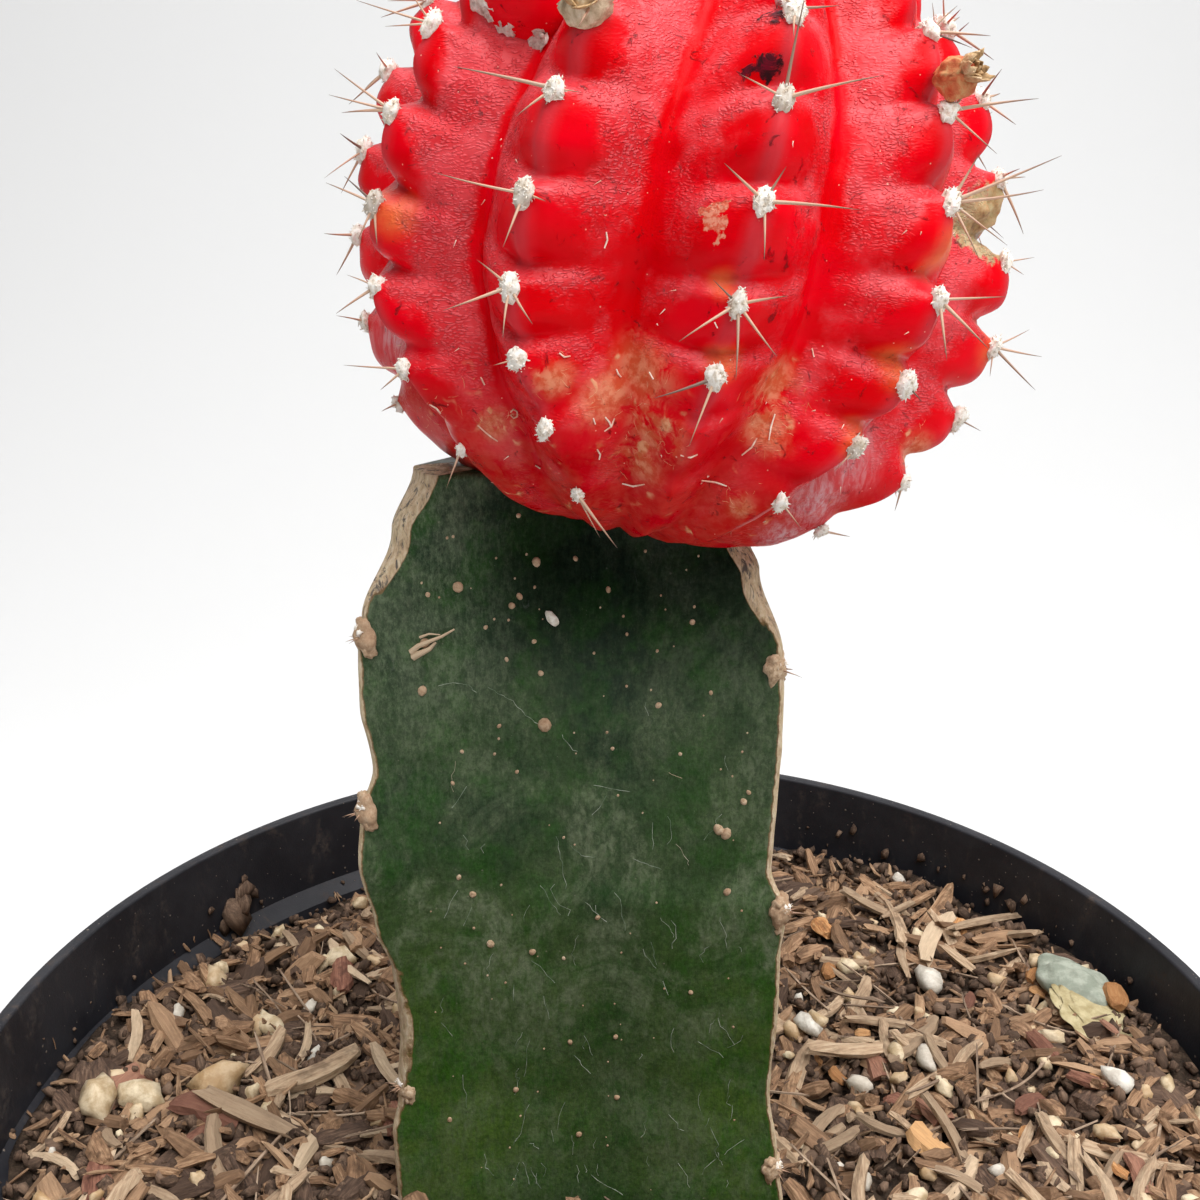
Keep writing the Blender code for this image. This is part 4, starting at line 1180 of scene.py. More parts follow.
woodTones = {
    # finish, dark, middle and pale tone, and roughness where it isn't the usual
    "soil_fine_crumbs": ("crumbled compost", (0.035, 0.021, 0.014), (0.11, 0.066, 0.043),
        (0.26, 0.17, 0.115), 0.9),
    "soil_dark_bark": ("dark bark", (0.03, 0.017, 0.012), (0.1, 0.058, 0.038), (0.21, 0.135, 0.092)),
    "soil_wood_chunks": ("brown wood chunks", (0.102, 0.0518, 0.0266), (0.272, 0.154, 0.0851),
        (0.476, 0.3, 0.178)),
    "soil_wood_slivers": ("brown wood slivers", (0.128, 0.0648, 0.0326), (0.315, 0.182, 0.0999),
        (0.51, 0.332, 0.2)),
    "soil_splinters": ("splinters", (0.085, 0.0421, 0.0229), (0.255, 0.146, 0.0814), (0.51, 0.34, 0.207)),
    "soil_pale_slivers": ("pale wood slivers", (0.255, 0.162, 0.0962), (0.468, 0.324, 0.207),
        (0.629, 0.486, 0.333)),
    "soil_red_bark": ("red bark", (0.11, 0.042, 0.028), (0.25, 0.105, 0.068), (0.38, 0.2, 0.13)),
    "soil_fibres": ("root fibres", (0.15, 0.095, 0.062), (0.32, 0.22, 0.15), (0.52, 0.39, 0.28)),
    "soil_orange_chips": ("orange chips", (0.26, 0.1, 0.035), (0.5, 0.23, 0.085), (0.66, 0.4, 0.19)),
}
stoneTones = {
    # finish, dark and pale tone, roughness, stain
    "soil_cream_stones": ("cream stones", (0.44, 0.32, 0.18), (0.74, 0.62, 0.43), 0.5, (0.42, 0.22, 0.08)),
    "soil_white_grains": ("white grains", (0.46, 0.41, 0.34), (0.76, 0.72, 0.64), 0.6, (0.5, 0.42, 0.32)),
    "soil_green_stone": ("grey green stone", (0.21, 0.24, 0.19), (0.38, 0.41, 0.34), 0.6, (0.3, 0.29, 0.2)),
    "soil_moss_leaf": ("dry moss leaf", (0.3, 0.25, 0.12), (0.5, 0.44, 0.26), 0.8, (0.42, 0.26, 0.12)),
}


def soilMaterials():
    made = {name: woodMaterial(*tones) for name, tones in woodTones.items()}
    made.update({name: stoneMaterial(*tones) for name, tones in stoneTones.items()})
    return made


def soilShapes():
    return {
        "soil_fine_crumbs": [lump(f"crumb{i}", (0.55, 0.42, 0.34), 1, 0.9, i + 40, 1.4) for i in range(6)],
        "soil_dark_bark": [chip(f"bark{i}", 4.4, 2.2 + 0.3 * i, 1.2, i + 60, 5, 7) for i in range(5)],
        "soil_wood_chunks": [chip(f"chunk{i}", 2.2 + 0.35 * i, 1.5 + 0.2 * (i % 3), 1.15, i + 70, 4, 6)
            for i in range(7)],
        "soil_wood_slivers": [chip(f"sliver{i}", 4.2 + 0.5 * i, 1.1 + 0.15 * (i % 3), 0.75, i + 80, 5, 6)
            for i in range(6)],
        "soil_splinters": [chip(f"splinter{i}", 1.3 + 0.3 * i, 0.42 + 0.1 * (i % 3), 0.34, i + 90, 3, 5)
            for i in range(6)],
        "soil_pale_slivers": [chip(f"pale{i}", 4.4 + 0.6 * i, 1.05 + 0.12 * (i % 3), 0.7, i + 100, 6, 6)
            for i in range(5)],
        "soil_red_bark": [chip(f"red{i}", 4.6, 2.1, 1.1, i + 120, 6, 7) for i in range(3)],
        "soil_fibres": [chip(f"fibre{i}", 7.5, 0.26, 0.22, i + 140, 7, 4) for i in range(4)],
        "soil_orange_chips": [chip(f"orange{i}", 2.6, 2.0, 1.1, i + 150, 5, 7) for i in range(3)],
        "soil_cream_stones": [lump(f"stone{i}", (1.05, 0.66, 0.58), 2, 0.6, i + 160, 1.0)
            for i in range(6)],
        "soil_white_grains": [lump(f"grain{i}", (0.95, 0.6, 0.52), 2, 0.5, i + 180, 1.1) for i in range(5)],
        "soil_green_stone": [lump("green", (3.0, 2.2, 1.2), 5, 0.42, 191, 0.9)],
        "soil_moss_leaf": [lump("leaf", (4.2, 2.4, 0.28), 5, 0.5, 197, 1.6)],
    }


# crumbs that stick to the inner wall and lie on its step: count, smallest, largest, lowest and highest place
wallKinds = {"soil_fine_crumbs": (420, 0.3, 1.2, 75.0, 80.5), "soil_splinters": (70, 0.4, 1.0, 75.2, 79.0),
    "soil_wood_chunks": (26, 0.25, 0.6, 75.4, 77.4)}
# the crumbs on the wall that show in the photo: (turn about the pot, height, size)
wallCrumbs = ((142.0, 78.6, 3.2), (143.4, 77.7, 2.9), (141.2, 79.6, 2.3), (144.6, 77.2, 1.9),
    (140.0, 78.9, 1.5), (57.0, 80.9, 1.1), (59.0, 79.9, 0.9), (52.5, 79.3, 1.0), (47.5, 80.3, 1.2),
    (36.6, 80.6, 1.5), (34.6, 79.6, 1.3), (33.0, 80.9, 0.9), (38.4, 79.8, 0.8), (141.0, 80.8, 0.9),
    (146.0, 79.3, 0.8))


def wallSeats(name):
    count, small, large, lowest, highest = wallKinds[name]
    draw = random.Random(len(name) * 7 + count)
    seats = []
    for i in range(count):
        turn = draw.uniform(0, 2 * math.pi)
        height = lowest + (highest - lowest) * draw.random() ** 3.2
        size = draw.uniform(small, large) * (1 if height < 77 else 0.6)
        seats.append(wallSeat(turn, height, size, draw))
    if name == "soil_fine_crumbs":
        for turn, height, size in wallCrumbs:
            seats.append(wallSeat(math.radians(turn), height, size, draw))
    return seats


def wallSeat(turn, height, size, draw):
    reach = innerRadius(height) - 0.22 * size
    inward = (*spun(-1, turn), 0.25 if height > stepTop else 1.0)
    along = (-math.sin(turn), math.cos(turn), draw.uniform(-0.6, 0.6))
    return ((*spun(reach, turn), height + 0.1), inward, along,
        (size, size * draw.uniform(0.8, 1.2), size * 0.8))


# Scion: a globe of ribs, drawn by the same rule as its solid, in finer steps

globe = {"centre": (3.95, 0.3, 146.1), "lean": 13.0, "radius": 20.6, "ribs": 11, "firstAzimuth": -92.4,
    "swell": 0.035, "taper": 0.02, "tuck": 0.13, "dimple": 0.1, "flatAzimuth": 76.0, "flat": 1.3,
    "valley": 3.9, "notch": 1.45, "rows": 10, "firstLatitude": 78.0, "step": 13.95, "shift": 6.5,
    "columns": 30, "between": 20, "bend": -10.0, "gather": 14.0, "gatherAzimuth": 6.0}
globeFrame = Matrix.Rotation(math.radians(globe["lean"]), 4, "Y")
globeFrame.translation = globe["centre"]
ribTurn = 360 / globe["ribs"]


def hermite(given, stops):
    # smooth curve through (place, value) stops
    places = np.array([s[0] for s in stops], float)
    values = np.array([s[1] for s in stops], float)
    slopes = np.gradient(values, places)
    given = np.clip(given, places[0], places[-1])
    i = np.clip(np.searchsorted(places, given, side="right") - 1, 0, len(stops) - 2)
    width = places[i + 1] - places[i]
    t = (given - places[i]) / width
    return ((2 * t ** 3 - 3 * t ** 2 + 1) * values[i] + (t ** 3 - 2 * t ** 2 + t) * width * slopes[i]
        + (3 * t ** 2 - 2 * t ** 3) * values[i + 1] + (t ** 3 - t ** 2) * width * slopes[i + 1])


valleyCurve = ((-0.1, 0.02), (0.0, 0.0), (0.1, 0.05), (0.25, 0.18), (0.5, 0.45), (0.75, 0.74), (0.9, 0.91),
    (1.0, 0.96), (1.1, 0.91))
notchAcross = ((0.0, 1.0), (0.1, 0.92), (0.25, 0.64), (0.45, 0.32), (0.65, 0.12), (0.85, 0.03), (1.0, 0.0))
notchCurve = ((0.0, 0.0), (0.1, -0.04), (0.28, -0.09), (0.45, -0.02), (0.58, 0.22), (0.68, 0.56),
    (0.76, 0.88), (0.82, 1.0))
ledge = 0.82     # where the ledge over the next areole starts, as a share of the way down to it


def notchOf(row):
    # 0 at an areole, bulging below it, then cut in sharply, then a ledge that rises out to the next areole
    way = np.mod(row, 1.0)
    onLedge = 1 - np.clip((way - ledge) / (1 - ledge), 0, 1) ** 1.25
    deep = np.where(way > ledge, onLedge, hermite(way, notchCurve))
    return np.where((row < 0) | (row >= globe["rows"] - 1), 0.0, deep)


def rowShift(rib):
    return globe["shift"] * np.cos(rib * math.pi / 2)


def bent(azimuth, latitude):
    # the lower rows bend to the front and gather there, and the form that carries them stays as it is
    around, up = np.radians(azimuth), np.radians(latitude)
    x, y, z = np.sin(around) * np.cos(up), -np.cos(around) * np.cos(up), np.sin(up)
    turn = np.radians(globe["bend"]) * ease(-latitude, 2, 46)
    y, z = y * np.cos(turn) - z * np.sin(turn), y * np.sin(turn) + z * np.cos(turn)
    azimuth, latitude = np.degrees(np.arctan2(x, -y)), np.degrees(np.arcsin(np.clip(z, -1, 1)))
    aside = np.radians(azimuth - globe["gatherAzimuth"])
    return azimuth - globe["gather"] * np.sin(2 * aside) * ease(-latitude, 12, 52), latitude


def globeSurface(rib, place, row):
    # points in the globe's own frame, with the latitude, notch and azimuth that made them
    rib, place, row = np.broadcast_arrays(np.asarray(rib, float), place, row)
    beside = np.mod(rib + np.where(place > 0, 1, -1), globe["ribs"])
    share = np.abs(place) / 2
    shift = rowShift(rib) * (1 - share) + rowShift(beside) * share
    drawn = globe["firstLatitude"] - globe["step"] * row
    drawn = drawn + shift * np.cos(np.radians(drawn))
    azimuth, latitude = bent(globe["firstAzimuth"] + ribTurn * rib + place * ribTurn / 2, drawn)
    spread = np.cos(np.radians(drawn))
    shape = (1 + globe["swell"] * ease(-latitude, 5, 35) - globe["tuck"] * ease(-latitude, 45, 88)
        - globe["taper"] * ease(latitude, 5, 45) - globe["dimple"] * ease(latitude, 55, 90))
    offSide = np.maximum(0.0, np.cos(np.radians(azimuth - globe["flatAzimuth"])))
    flat = globe["flat"] * offSide ** 4 * ease(latitude, -4, 16)
    deep = globe["valley"] * hermite(np.abs(place), valleyCurve) * np.maximum(spread, 0) ** 0.6
    front = ease(np.cos(np.radians(azimuth - 4)), 0.25, 0.8)
    deep = deep * (1 - 0.55 * ease(-drawn, 40, 62)) * (1 - 0.35 * front * ease(-drawn, 22, 46))
    notch = notchOf(row)
    # the two ribs in the middle of the front are notched less than the others
    depth = globe["notch"] * np.where((rib == 2) | (rib == 3), 0.78, 1.0)
    cut = depth * notch * hermite(np.abs(place), notchAcross) * (0.2 + 0.8 * spread)
    cut = cut * (1 - 0.45 * ease(-drawn, 30, 52)) * (1 - 0.55 * front * ease(-drawn, 16, 38))
    radius = globe["radius"] * shape - flat - deep - cut
    around, up = np.radians(azimuth), np.radians(latitude)
    points = np.stack([radius * np.sin(around) * np.cos(up), -radius * np.cos(around) * np.cos(up),
        radius * np.sin(up)], -1)
    return points, latitude, notch, azimuth


def toWorld(points):
    turn = np.array(globeFrame.to_3x3())
    return points @ turn.T + np.array(globe["centre"])


# marks on the globe. In front: (x, y) in the picture and the radius in degrees; round the rest: azimuth,
# latitude, radius
frontMarks = {
    "orange": ((390, 208, 5), (402, 216, 5), (722, 358, 4), (893, 362, 5), (943, 246, 5), (934, 262, 4),
        (846, 428, 4.5), (722, 282, 3), (985, 345, 6)),
    "wound": ((766, 66, 3.0), (748, 66, 1.8), (778, 16, 3.0), (962, 98, 2.4)),
    "scar": ((640, 382, 10), (655, 425, 9), (606, 402, 8), (782, 402, 9), (768, 436, 7), (450, 404, 8),
        (640, 456, 7), (736, 486, 4), (560, 372, 5), (905, 440, 6), (500, 420, 5)),
    "taut": ((874, 428, 7), (852, 462, 9), (812, 492, 8), (775, 515, 6)),
    "peel": ((714, 222, 2.6), (706, 212, 1.6), (720, 206, 1.5), (716, 240, 1.6), (596, 212, 0.9)),
}
roundMarks = {
    "wound": ((148, 33, 4), (-136, 20, 4)), "dried": ((68, 14, 9), (182, -12, 7)),
    "scar": ((110, -30, 13), (150, -38, 13), (205, -33, 14), (-100, -36, 12)),
    "taut": ((-75, -30, 9), (128, -28, 10), (-140, -30, 9)),
}
orangeTints = ((6, 5, 5), (7, 4, 6), (8, 6, 5), (9, 5, 5), (10, 6, 5), (6, 7, 6))     # rib, row, radius
# flanks painted paler or deeper than the rest, as painted light and shade: rib, side, how frosted
flankLightTones = ((1, 1, 2.6), (2, 1, 1.1), (3, -1, 0.35), (3, 1, 0.7), (4, -1, 0.9), (0, -1, 0.4), (0, 1, 0.5),
    (5, -1, 1.5), (5, 1, 0.6), (1, -1, 0.5))


def fromPicture(x, y):
    # azimuth and latitude on the globe of a place in the picture
    way, centre, reach = sightTo(x, y), Vector(globe["centre"]), globe["radius"] - 1
    start = Vector(view["place"]) - centre
    half = start.dot(way)
    inside = half * half - start.dot(start) + reach * reach
    hit = start + way * (-half - math.sqrt(max(inside, 0.0)))
    local = (globeFrame.to_3x3().inverted() @ hit).normalized()
    return math.degrees(math.atan2(local.x, -local.y)), math.degrees(math.asin(local.z))


def marksFor(name):
    places = [(*fromPicture(x, y), radius) for x, y, radius in frontMarks.get(name, ())]
    places += roundMarks.get(name, ())
    if name == "orange":
        # the tints behind sit on the crests
        for rib, row, radius in orangeTints:
            _, latitude, _, azimuth = globeSurface(rib, 0.0, row)
            places.append((float(azimuth), float(latitude), radius))
    return places


def markValue(azimuth, latitude, marks, soft=0.55):
    # 1 in the middle of each mark, fading out at its edge
    around, up = np.radians(azimuth), np.radians(latitude)
    total = np.zeros_like(azimuth)
    for markAzimuth, markLatitude, radius in marks:
        a, b = math.radians(markAzimuth), math.radians(markLatitude)
        near = np.sin(up) * math.sin(b) + np.cos(up) * math.cos(b) * np.cos(around - a)
        away = np.degrees(np.arccos(np.clip(near, -1, 1))) / radius
        total = np.maximum(total, 1 - ease(away, 1 - soft, 1.0))
    return total


def redSkin():
    material, tree, shader = newMaterial("red globe skin", Subsurface_Weight=0.2,
        Subsurface_Radius=(1.0, 0.07, 0.06), Subsurface_Scale=1.5 * mm)
    where = millimetres(tree)
    fine = noiseOf(where, 1.6, 5.0, 0.6)
    drift = noiseOf(where, 0.5, 5.0, 0.6)
    low = value(tree, "low")
    deep = mixed(between(noiseOf(where, 0.22, 4.0, 0.55), 0.35, 0.65), (0.66, 0.0003, 0.003),
        (0.8, 0.0006, 0.009))
    # painted shade: the low part of the globe painted a darker red
    shadedUnderside = mixed(times(low, 0.45), deep, (0.3, 0.0008, 0.008))
    # the skin is frosted pink on the flanks, in fine wrinkles with darker furrows, and painted pinker where
    # it looks up, as painted sheen from the light above
    upward = axisOf(put(tree, "ShaderNodeNewGeometry", out="Normal"), "Z")
    # painted sheen: skin that faces up is painted pinker
    raised = between(upward, -0.3, 0.8, -0.08, 0.42)
    patchy = between(drift, 0.3, 0.7, -0.28, 0.28)
    frostAndSheenSum = plus(plus(value(tree, "frostAndSheen"), raised), patchy)
    frostAndSheenShare = times(between(frostAndSheenSum, 0.0, 1.0), between(low, 0.05, 0.8, 1.0, 0.4))
    wavy = swirled(where, millimetres(tree, (1.0, 1.0, 2.3)), 0.8, 2.0, 1.3)
    wrinkle = put(tree, "ShaderNodeTexVoronoi", {"Vector": wavy, "Scale": 3.5, "Smoothness": 0.4},
        out="Distance", feature="SMOOTH_F1")
    pits = flecks(where, 1.9, 0.55, 0.2)
    pitted = times(pits, between(noiseOf(where, 0.17, 2.0), 0.47, 0.56))
    smoothed = between(noiseOf(where, 0.33, 3.0, 0.6), 0.36, 0.6, 0.25, 1.0)
    furrow = times(between(wrinkle, 0.26, 0.56), smoothed)
    pink = mixed(between(drift, 0.35, 0.65), (0.76, 0.05, 0.066), (0.8, 0.088, 0.106))
    lined = mixed(times(furrow, 0.95), pink, (0.6, 0.012, 0.02))
    dimpled = mixed(times(pitted, 0.6), lined, (0.5, 0.008, 0.014))
    frostAndSheenColour = mixed(times(frostAndSheenShare, 0.88), shadedUnderside, dimpled)
    # the ridge between areoles is a smooth, duller band
    ridged = mixed(times(value(tree, "crest"), 0.55), frostAndSheenColour, (0.52, 0.055, 0.07))
    glow = times(value(tree, "orange"), between(fine, 0.2, 0.6, 0.5, 1.0))
    warm = mixed(times(glow, 0.85), ridged, (0.84, 0.175, 0.055))
    # corky film low on the globe: fibrous tan patches worn through to the red
    swirl = swirled(where, where, 0.45, 3.0, 3.4)
    fibre = put(tree, "ShaderNodeTexNoise", {"Vector": swirl, "Scale": 0.9, "Detail": 7.0,
        "Roughness": 0.72}, noise_type="RIDGED_MULTIFRACTAL")
    film = between(noiseOf(swirl, 0.42, 5.0, 0.66), 0.34, 0.5)
    threads = times(between(fibre, 0.2, 0.6), 0.75)
    worn = times(film, plus(threads, 0.25))
    scarred = times(value(tree, "scar"), worn)
    tan = mixed(between(fine, 0.38, 0.62), (0.6, 0.15, 0.055), (0.78, 0.4, 0.22))
    scar = mixed(between(scarred, 0.02, 0.36, 0.0, 0.88), warm, tan)
    # skin drawn taut and pale between low ribs, in fine lines
    lines = noiseOf(millimetres(tree, (1.6, 1.6, 0.35)), 1.9, 5.0, 0.7, 0.5)
    taut = times(value(tree, "taut"), between(lines, 0.38, 0.66, 0.25, 1.0))
    drawnTight = mixed(times(taut, 0.9), scar, (0.68, 0.42, 0.44))
    peel = times(frayed("peel", fine, 0.45, 0.5, 0.7), 0.85)
    bare = between(noiseOf(where, 4.0, 4.0), 0.4, 0.6)
    peeled = mixed(peel, drawnTight, mixed(bare, (0.66, 0.13, 0.07), (0.78, 0.36, 0.24)))
    # wounds and dried tissue
    dryTone = colours(noiseOf(where, 0.9, 6.0, 0.66), (0.3, (0.2, 0.1, 0.05)), (0.46, (0.42, 0.27, 0.13)),
        (0.6, (0.5, 0.38, 0.22)), (0.74, (0.52, 0.16, 0.12)))
    dried = mixed(frayed("dried", fine, 0.25, 0.3, 0.62), peeled, dryTone)
    torn = noiseOf(where, 1.0, 7.0, 0.72, 0.8)
    hurt = frayed("wound", torn, 0.6, 0.42, 0.72)
    sore = mixed(between(torn, 0.45, 0.62), (0.16, 0.006, 0.018), (0.03, 0.008, 0.01))
    wounded = mixed(hurt, dried, sore)
    dots = sums("MAXIMUM", flecks(where, 0.75, 0.2, 0.06), flecks(where, 1.9, 0.14, 0.1))
    specked = mixed(times(dots, 0.7), wounded, (0.84, 0.48, 0.36))
    rough = plus(between(frostAndSheenShare, 0.0, 1.0, 0.27, 0.5), times(scarred, 0.2))
    sunk = times(plus(frostAndSheenShare, 0.05), plus(furrow, pitted))
    skin = relief(fine, 0.05, 0.3, relief(sums("SUBTRACT", 1.0, sunk), 0.105, 0.9))
    dress(shader, Base_Color=specked, Normal=relief(plus(scarred, hurt), 0.12, 0.7, skin),
        Roughness=plus(rough, times(hurt, 0.2)), Specular_IOR_Level=between(frostAndSheenShare, 0.0, 1.0, 0.05, 0.42))
    return material


def areoleSeats():
    # every areole, with its place and the directions out, up and east there
    seats = []
    for row in range(globe["rows"]):
        for rib in range(globe["ribs"]):
            place, latitude, _, _ = globeSurface(rib, 0.0, float(row))
            point = Vector(toWorld(place))
            out = (point - Vector(globe["centre"])).normalized()
            up = globeFrame.to_3x3() @ Vector((0, 0, 1))
            up = (up - out * up.dot(out)).normalized()
            seats.append({"rib": rib, "row": row, "point": point, "out": out, "up": up,
                "east": up.cross(out), "latitude": float(latitude)})
    return seats


def skinValues(rib, place, latitude, azimuth, across, way, dried):
    # frosted round the areoles and on the outer half of the flanks, with painted light on the flanks that
    # face the light; the bulges and the valleys stay smooth
    nearAreole = np.maximum(1 - ease(np.abs(way - 1), 0.0, 0.3), 1 - ease(way, 0.0, 0.2))
    shoulder = nearAreole * ease(across, 0.02, 0.2) * (1 - ease(across, 0.45, 0.95))
    bulge = ease(way, 0.04, 0.32) * (1 - ease(way, 0.52, 0.88)) * (1 - ease(across, 0.16, 0.7))
    flank = ease(across, 0.12, 0.55) * (1 - ease(across, 0.78, 1.0))
    ribs = np.broadcast_to(rib, latitude.shape)
    side = np.sign(np.broadcast_to(place, latitude.shape))
    paler = np.ones_like(latitude)
    for which, where, factor in flankLightTones:
        paler[(ribs == which) & (side == where)] = factor
    # the frost share carries painted light too: flanks facing the light are painted paler, those turned from
    # it deeper
    frostAndSheen = 0.34 * shoulder + (0.34 + 0.3 * ease(latitude, -14, 20)) * flank * paler - 0.42 * bulge
    frostAndSheen = frostAndSheen - 0.4 * ease(across, 0.8, 1.0)
    ridge = (1 - ease(across, 0.04, 0.14)) * (1 - ease(-latitude, 24, 38)) * ease(way, 0.04, 0.25)
    values = {"frostAndSheen": frostAndSheen, "low": ease(-latitude, 14, 46), "dried": dried, "crest": ridge}
    for name, soft in (("orange", 0.95), ("wound", 0.9), ("scar", 0.95), ("taut", 0.9), ("peel", 0.7)):
        values[name] = markValue(azimuth, latitude, marksFor(name), soft)
    values["scar"] = np.maximum(values["scar"], 0.35 * ease(-latitude, 20, 44))
    return values


def makeGlobe(material):
    last = globe["rows"] - 1
    rows = list(np.linspace(-0.6, 0, 9, endpoint=False))
    for areole in range(last):
        rows += list(areole + np.linspace(0, 1, globe["between"], endpoint=False))
    rows += list(np.linspace(last, last + 2.3, 30))
    columns = globe["columns"]
    places = np.linspace(-1, 1, columns, endpoint=False)
    places = np.sign(places) * np.abs(places) ** 1.12
    rib = np.repeat(np.arange(globe["ribs"]), columns)[None, :]
    place = np.tile(places, globe["ribs"])[None, :]
    row = np.array(rows)[:, None]
    points, latitude, _, azimuth = globeSurface(rib, place, row)
    across = np.abs(np.broadcast_to(place, latitude.shape))
    way = np.mod(np.broadcast_to(row, latitude.shape), 1.0)

    # small irregular swellings, and a thin raised line along each crest
    flatPoints = points.reshape(-1, 3)
    swell = np.array([noise.noise(Vector(p) * 0.23) * 0.32 + noise.noise(Vector(p) * 0.75) * 0.1
        for p in flatPoints])
    crest = np.exp(-(across / 0.06) ** 2) * 0.1 * (1 - ease(-latitude, 26, 44))
    dried = markValue(azimuth, latitude, marksFor("dried"))
    crumple = np.array([noise.noise(Vector(p) * 1.3) for p in flatPoints]) * dried.ravel() * 0.55
    length = np.linalg.norm(flatPoints, axis=1)
    raised = swell + crest.ravel() + crumple - 0.25 * dried.ravel()
    flatPoints = flatPoints * (1 + raised / length)[:, None]

    width = globe["ribs"] * columns
    world = list(toWorld(flatPoints))
    poleUp = np.array([0, 0, globe["radius"] * (1 - globe["taper"] - globe["dimple"])])
    forward = math.radians(-globe["bend"])
    poleDown = np.array([0, -math.sin(forward), -math.cos(forward)]) * globe["radius"]
    poleDown *= 1 + globe["swell"] - globe["tuck"]
    world += [toWorld(poleUp), toWorld(poleDown)]
    # rings run from the crown down
    faces = [tuple(reversed(face)) for face in ringFaces(len(rows), width)]
    faces += capFaces(len(world) - 2, 0, width, True)
    faces += capFaces(len(world) - 1, (len(rows) - 1) * width, width, False)
    piece = addMesh("globe_flesh", world, faces, material)
    for name, given in skinValues(rib, place, latitude, azimuth, across, way, dried).items():
        addValue(piece.data, name, list(given.ravel()) + [0, 0])
    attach(piece, "root")
    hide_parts("scion")
    print("globe raised:", len(faces), "faces")
    return piece


def woolMaterial():
    material, tree, shader = newMaterial("areole wool", Roughness=0.95, Specular_IOR_Level=0.2)
    felt = noiseOf(millimetres(tree), 3.0, 5.0, 0.65)
    wool = colours(felt, (0.28, (0.34, 0.25, 0.17)), (0.42, (0.74, 0.65, 0.54)), (0.56, (0.92, 0.88, 0.82)))
    soiled = between(value(tree, "tone"), 0.8, 1.0, 0.0, 0.5)
    dress(shader, Base_Color=mixed(soiled, wool, (0.34, 0.25, 0.17)), Normal=relief(felt, 0.1, 0.8))
    return material


spine = {"shortest": 2.0, "longest": 3.6, "thick": 0.115, "steps": 8, "pointsPerMm": 14.4}
pad = {"wide": 0.56, "high": 0.78, "deep": 0.52, "rough": 0.34, "hair": (0.036, 0.036, 0.2), "hairs": 13e6}
bareAreoles = ((3, 8), (3, 9))      # scarred over, without wool or spines
# spines of the areoles in front, by (rib, row): each as (right, down) in the picture's points
frontSpines = {(1, 4): ((-14, -26), (-50, -12), (-30, 6)), (1, 5): ((-30, -26), (-32, 4), (-36, -7)),
    (1, 6): ((-27, -15), (-5, 28), (9, 33), (-14, -20)), (1, 7): ((-24, 20), (-16, -10)),
    (1, 8): ((-42, -6), (-14, 14)), (1, 9): ((-6, 25),), (2, 4): ((-60, -6), (-23, 21), (20, 5)),
    (2, 5): ((-55, -13), (-8, 38), (18, 6)), (2, 6): ((-38, 14), (2, 34), (20, 25), (-18, -20)),
    (2, 7): ((-14, 3),), (2, 8): (), (2, 9): ((36, 28), (20, 27)),
    (3, 4): ((62, -10), (8, -62), (-32, -12)), (3, 5): ((60, 7), (-2, 40), (-30, -24), (12, -22)),
    (3, 6): ((-43, 22), (-4, 49), (25, 34), (32, -8), (-18, -18)), (3, 7): ((-44, 11), (-20, 44)),
    (4, 3): ((17, -16), (36, 10), (26, 16)), (4, 4): ((50, -2), (24, 36), (14, -16)),
    (4, 5): ((64, -32), (58, -8), (34, 32), (12, -34), (12, 42)), (4, 6): ((42, -4), (28, 34), (-3, 42)),
    (4, 7): ((9, 11),), (4, 8): ((-20, 14),), (4, 9): ((14, 16),), (5, 5): ((20, -4), (12, 10)),
    (5, 6): ((34, 6), (28, 34), (-10, 22), (20, -18)), (5, 7): ((16, 8),)}


def spineWays(seat, draw):
    # direction and length of each spine: in front from the table, elsewhere to both sides and down
    out, up, east, latitude = seat["out"], seat["up"], seat["east"], seat["latitude"]
    if (seat["rib"], seat["row"]) in frontSpines:
        down = math.radians(view["down"])
        skyward = Vector((0, math.sin(down), math.cos(down)))
        ways = []
        for right, below in frontSpines[seat["rib"], seat["row"]]:
            flat = (Vector((1, 0, 0)) * right - skyward * below) / spine["pointsPerMm"]
            ways.append(flat + out * flat.length * draw.uniform(0.15, 0.4))
        return ways
    leans = [(-1, 0.12), (1, 0.12), (0.05, -1)]
    if draw.random() < 0.45:
        leans.append((draw.choice((-0.7, 0.7)), draw.choice((-0.75, 0.75))))
    if latitude < -24:
        leans = draw.sample(leans, 1 + (draw.random() < 0.45))
    if latitude < -50:
        leans = leans[:1] if draw.random() < 0.4 else []
    reach = 1 - 0.4 * float(ease(latitude, 45, 75)) - 0.3 * float(ease(-latitude, 15, 45))
    ways = []
    for sideways, upwards in leans:
        way = east * (sideways + draw.uniform(-0.28, 0.28))
        way += up * (upwards + draw.uniform(-0.28, 0.28))
        way = (way.normalized() + out * draw.uniform(0.28, 0.75)).normalized()
        ways.append(way * draw.uniform(spine["shortest"], spine["longest"]) * reach)
    return ways


def spinePath(seat, way, draw):
    # a drooping, tapered line from just inside the wool pad
    out, up, east = seat["out"], seat["up"], seat["east"]
    length = way.length
    way = way.normalized()
    droop = east * draw.uniform(-0.3, 0.3) + up * draw.uniform(-0.3, 0.3)
    droop += out * draw.uniform(-0.1, 0.3)
    root = seat["point"] + out * 0.12 - up * 0.2 + way * 0.1
    thick = spine["thick"] * draw.uniform(0.65, 1.05) * min(1.0, 0.55 + length * 0.14)
    path = []
    for i in range(spine["steps"]):
        s = i / (spine["steps"] - 1)
        path.append((root + way * length * s + droop * length * 0.22 * s * (1 - s),
            thick * (1.03 - s) ** 0.75))
    return path


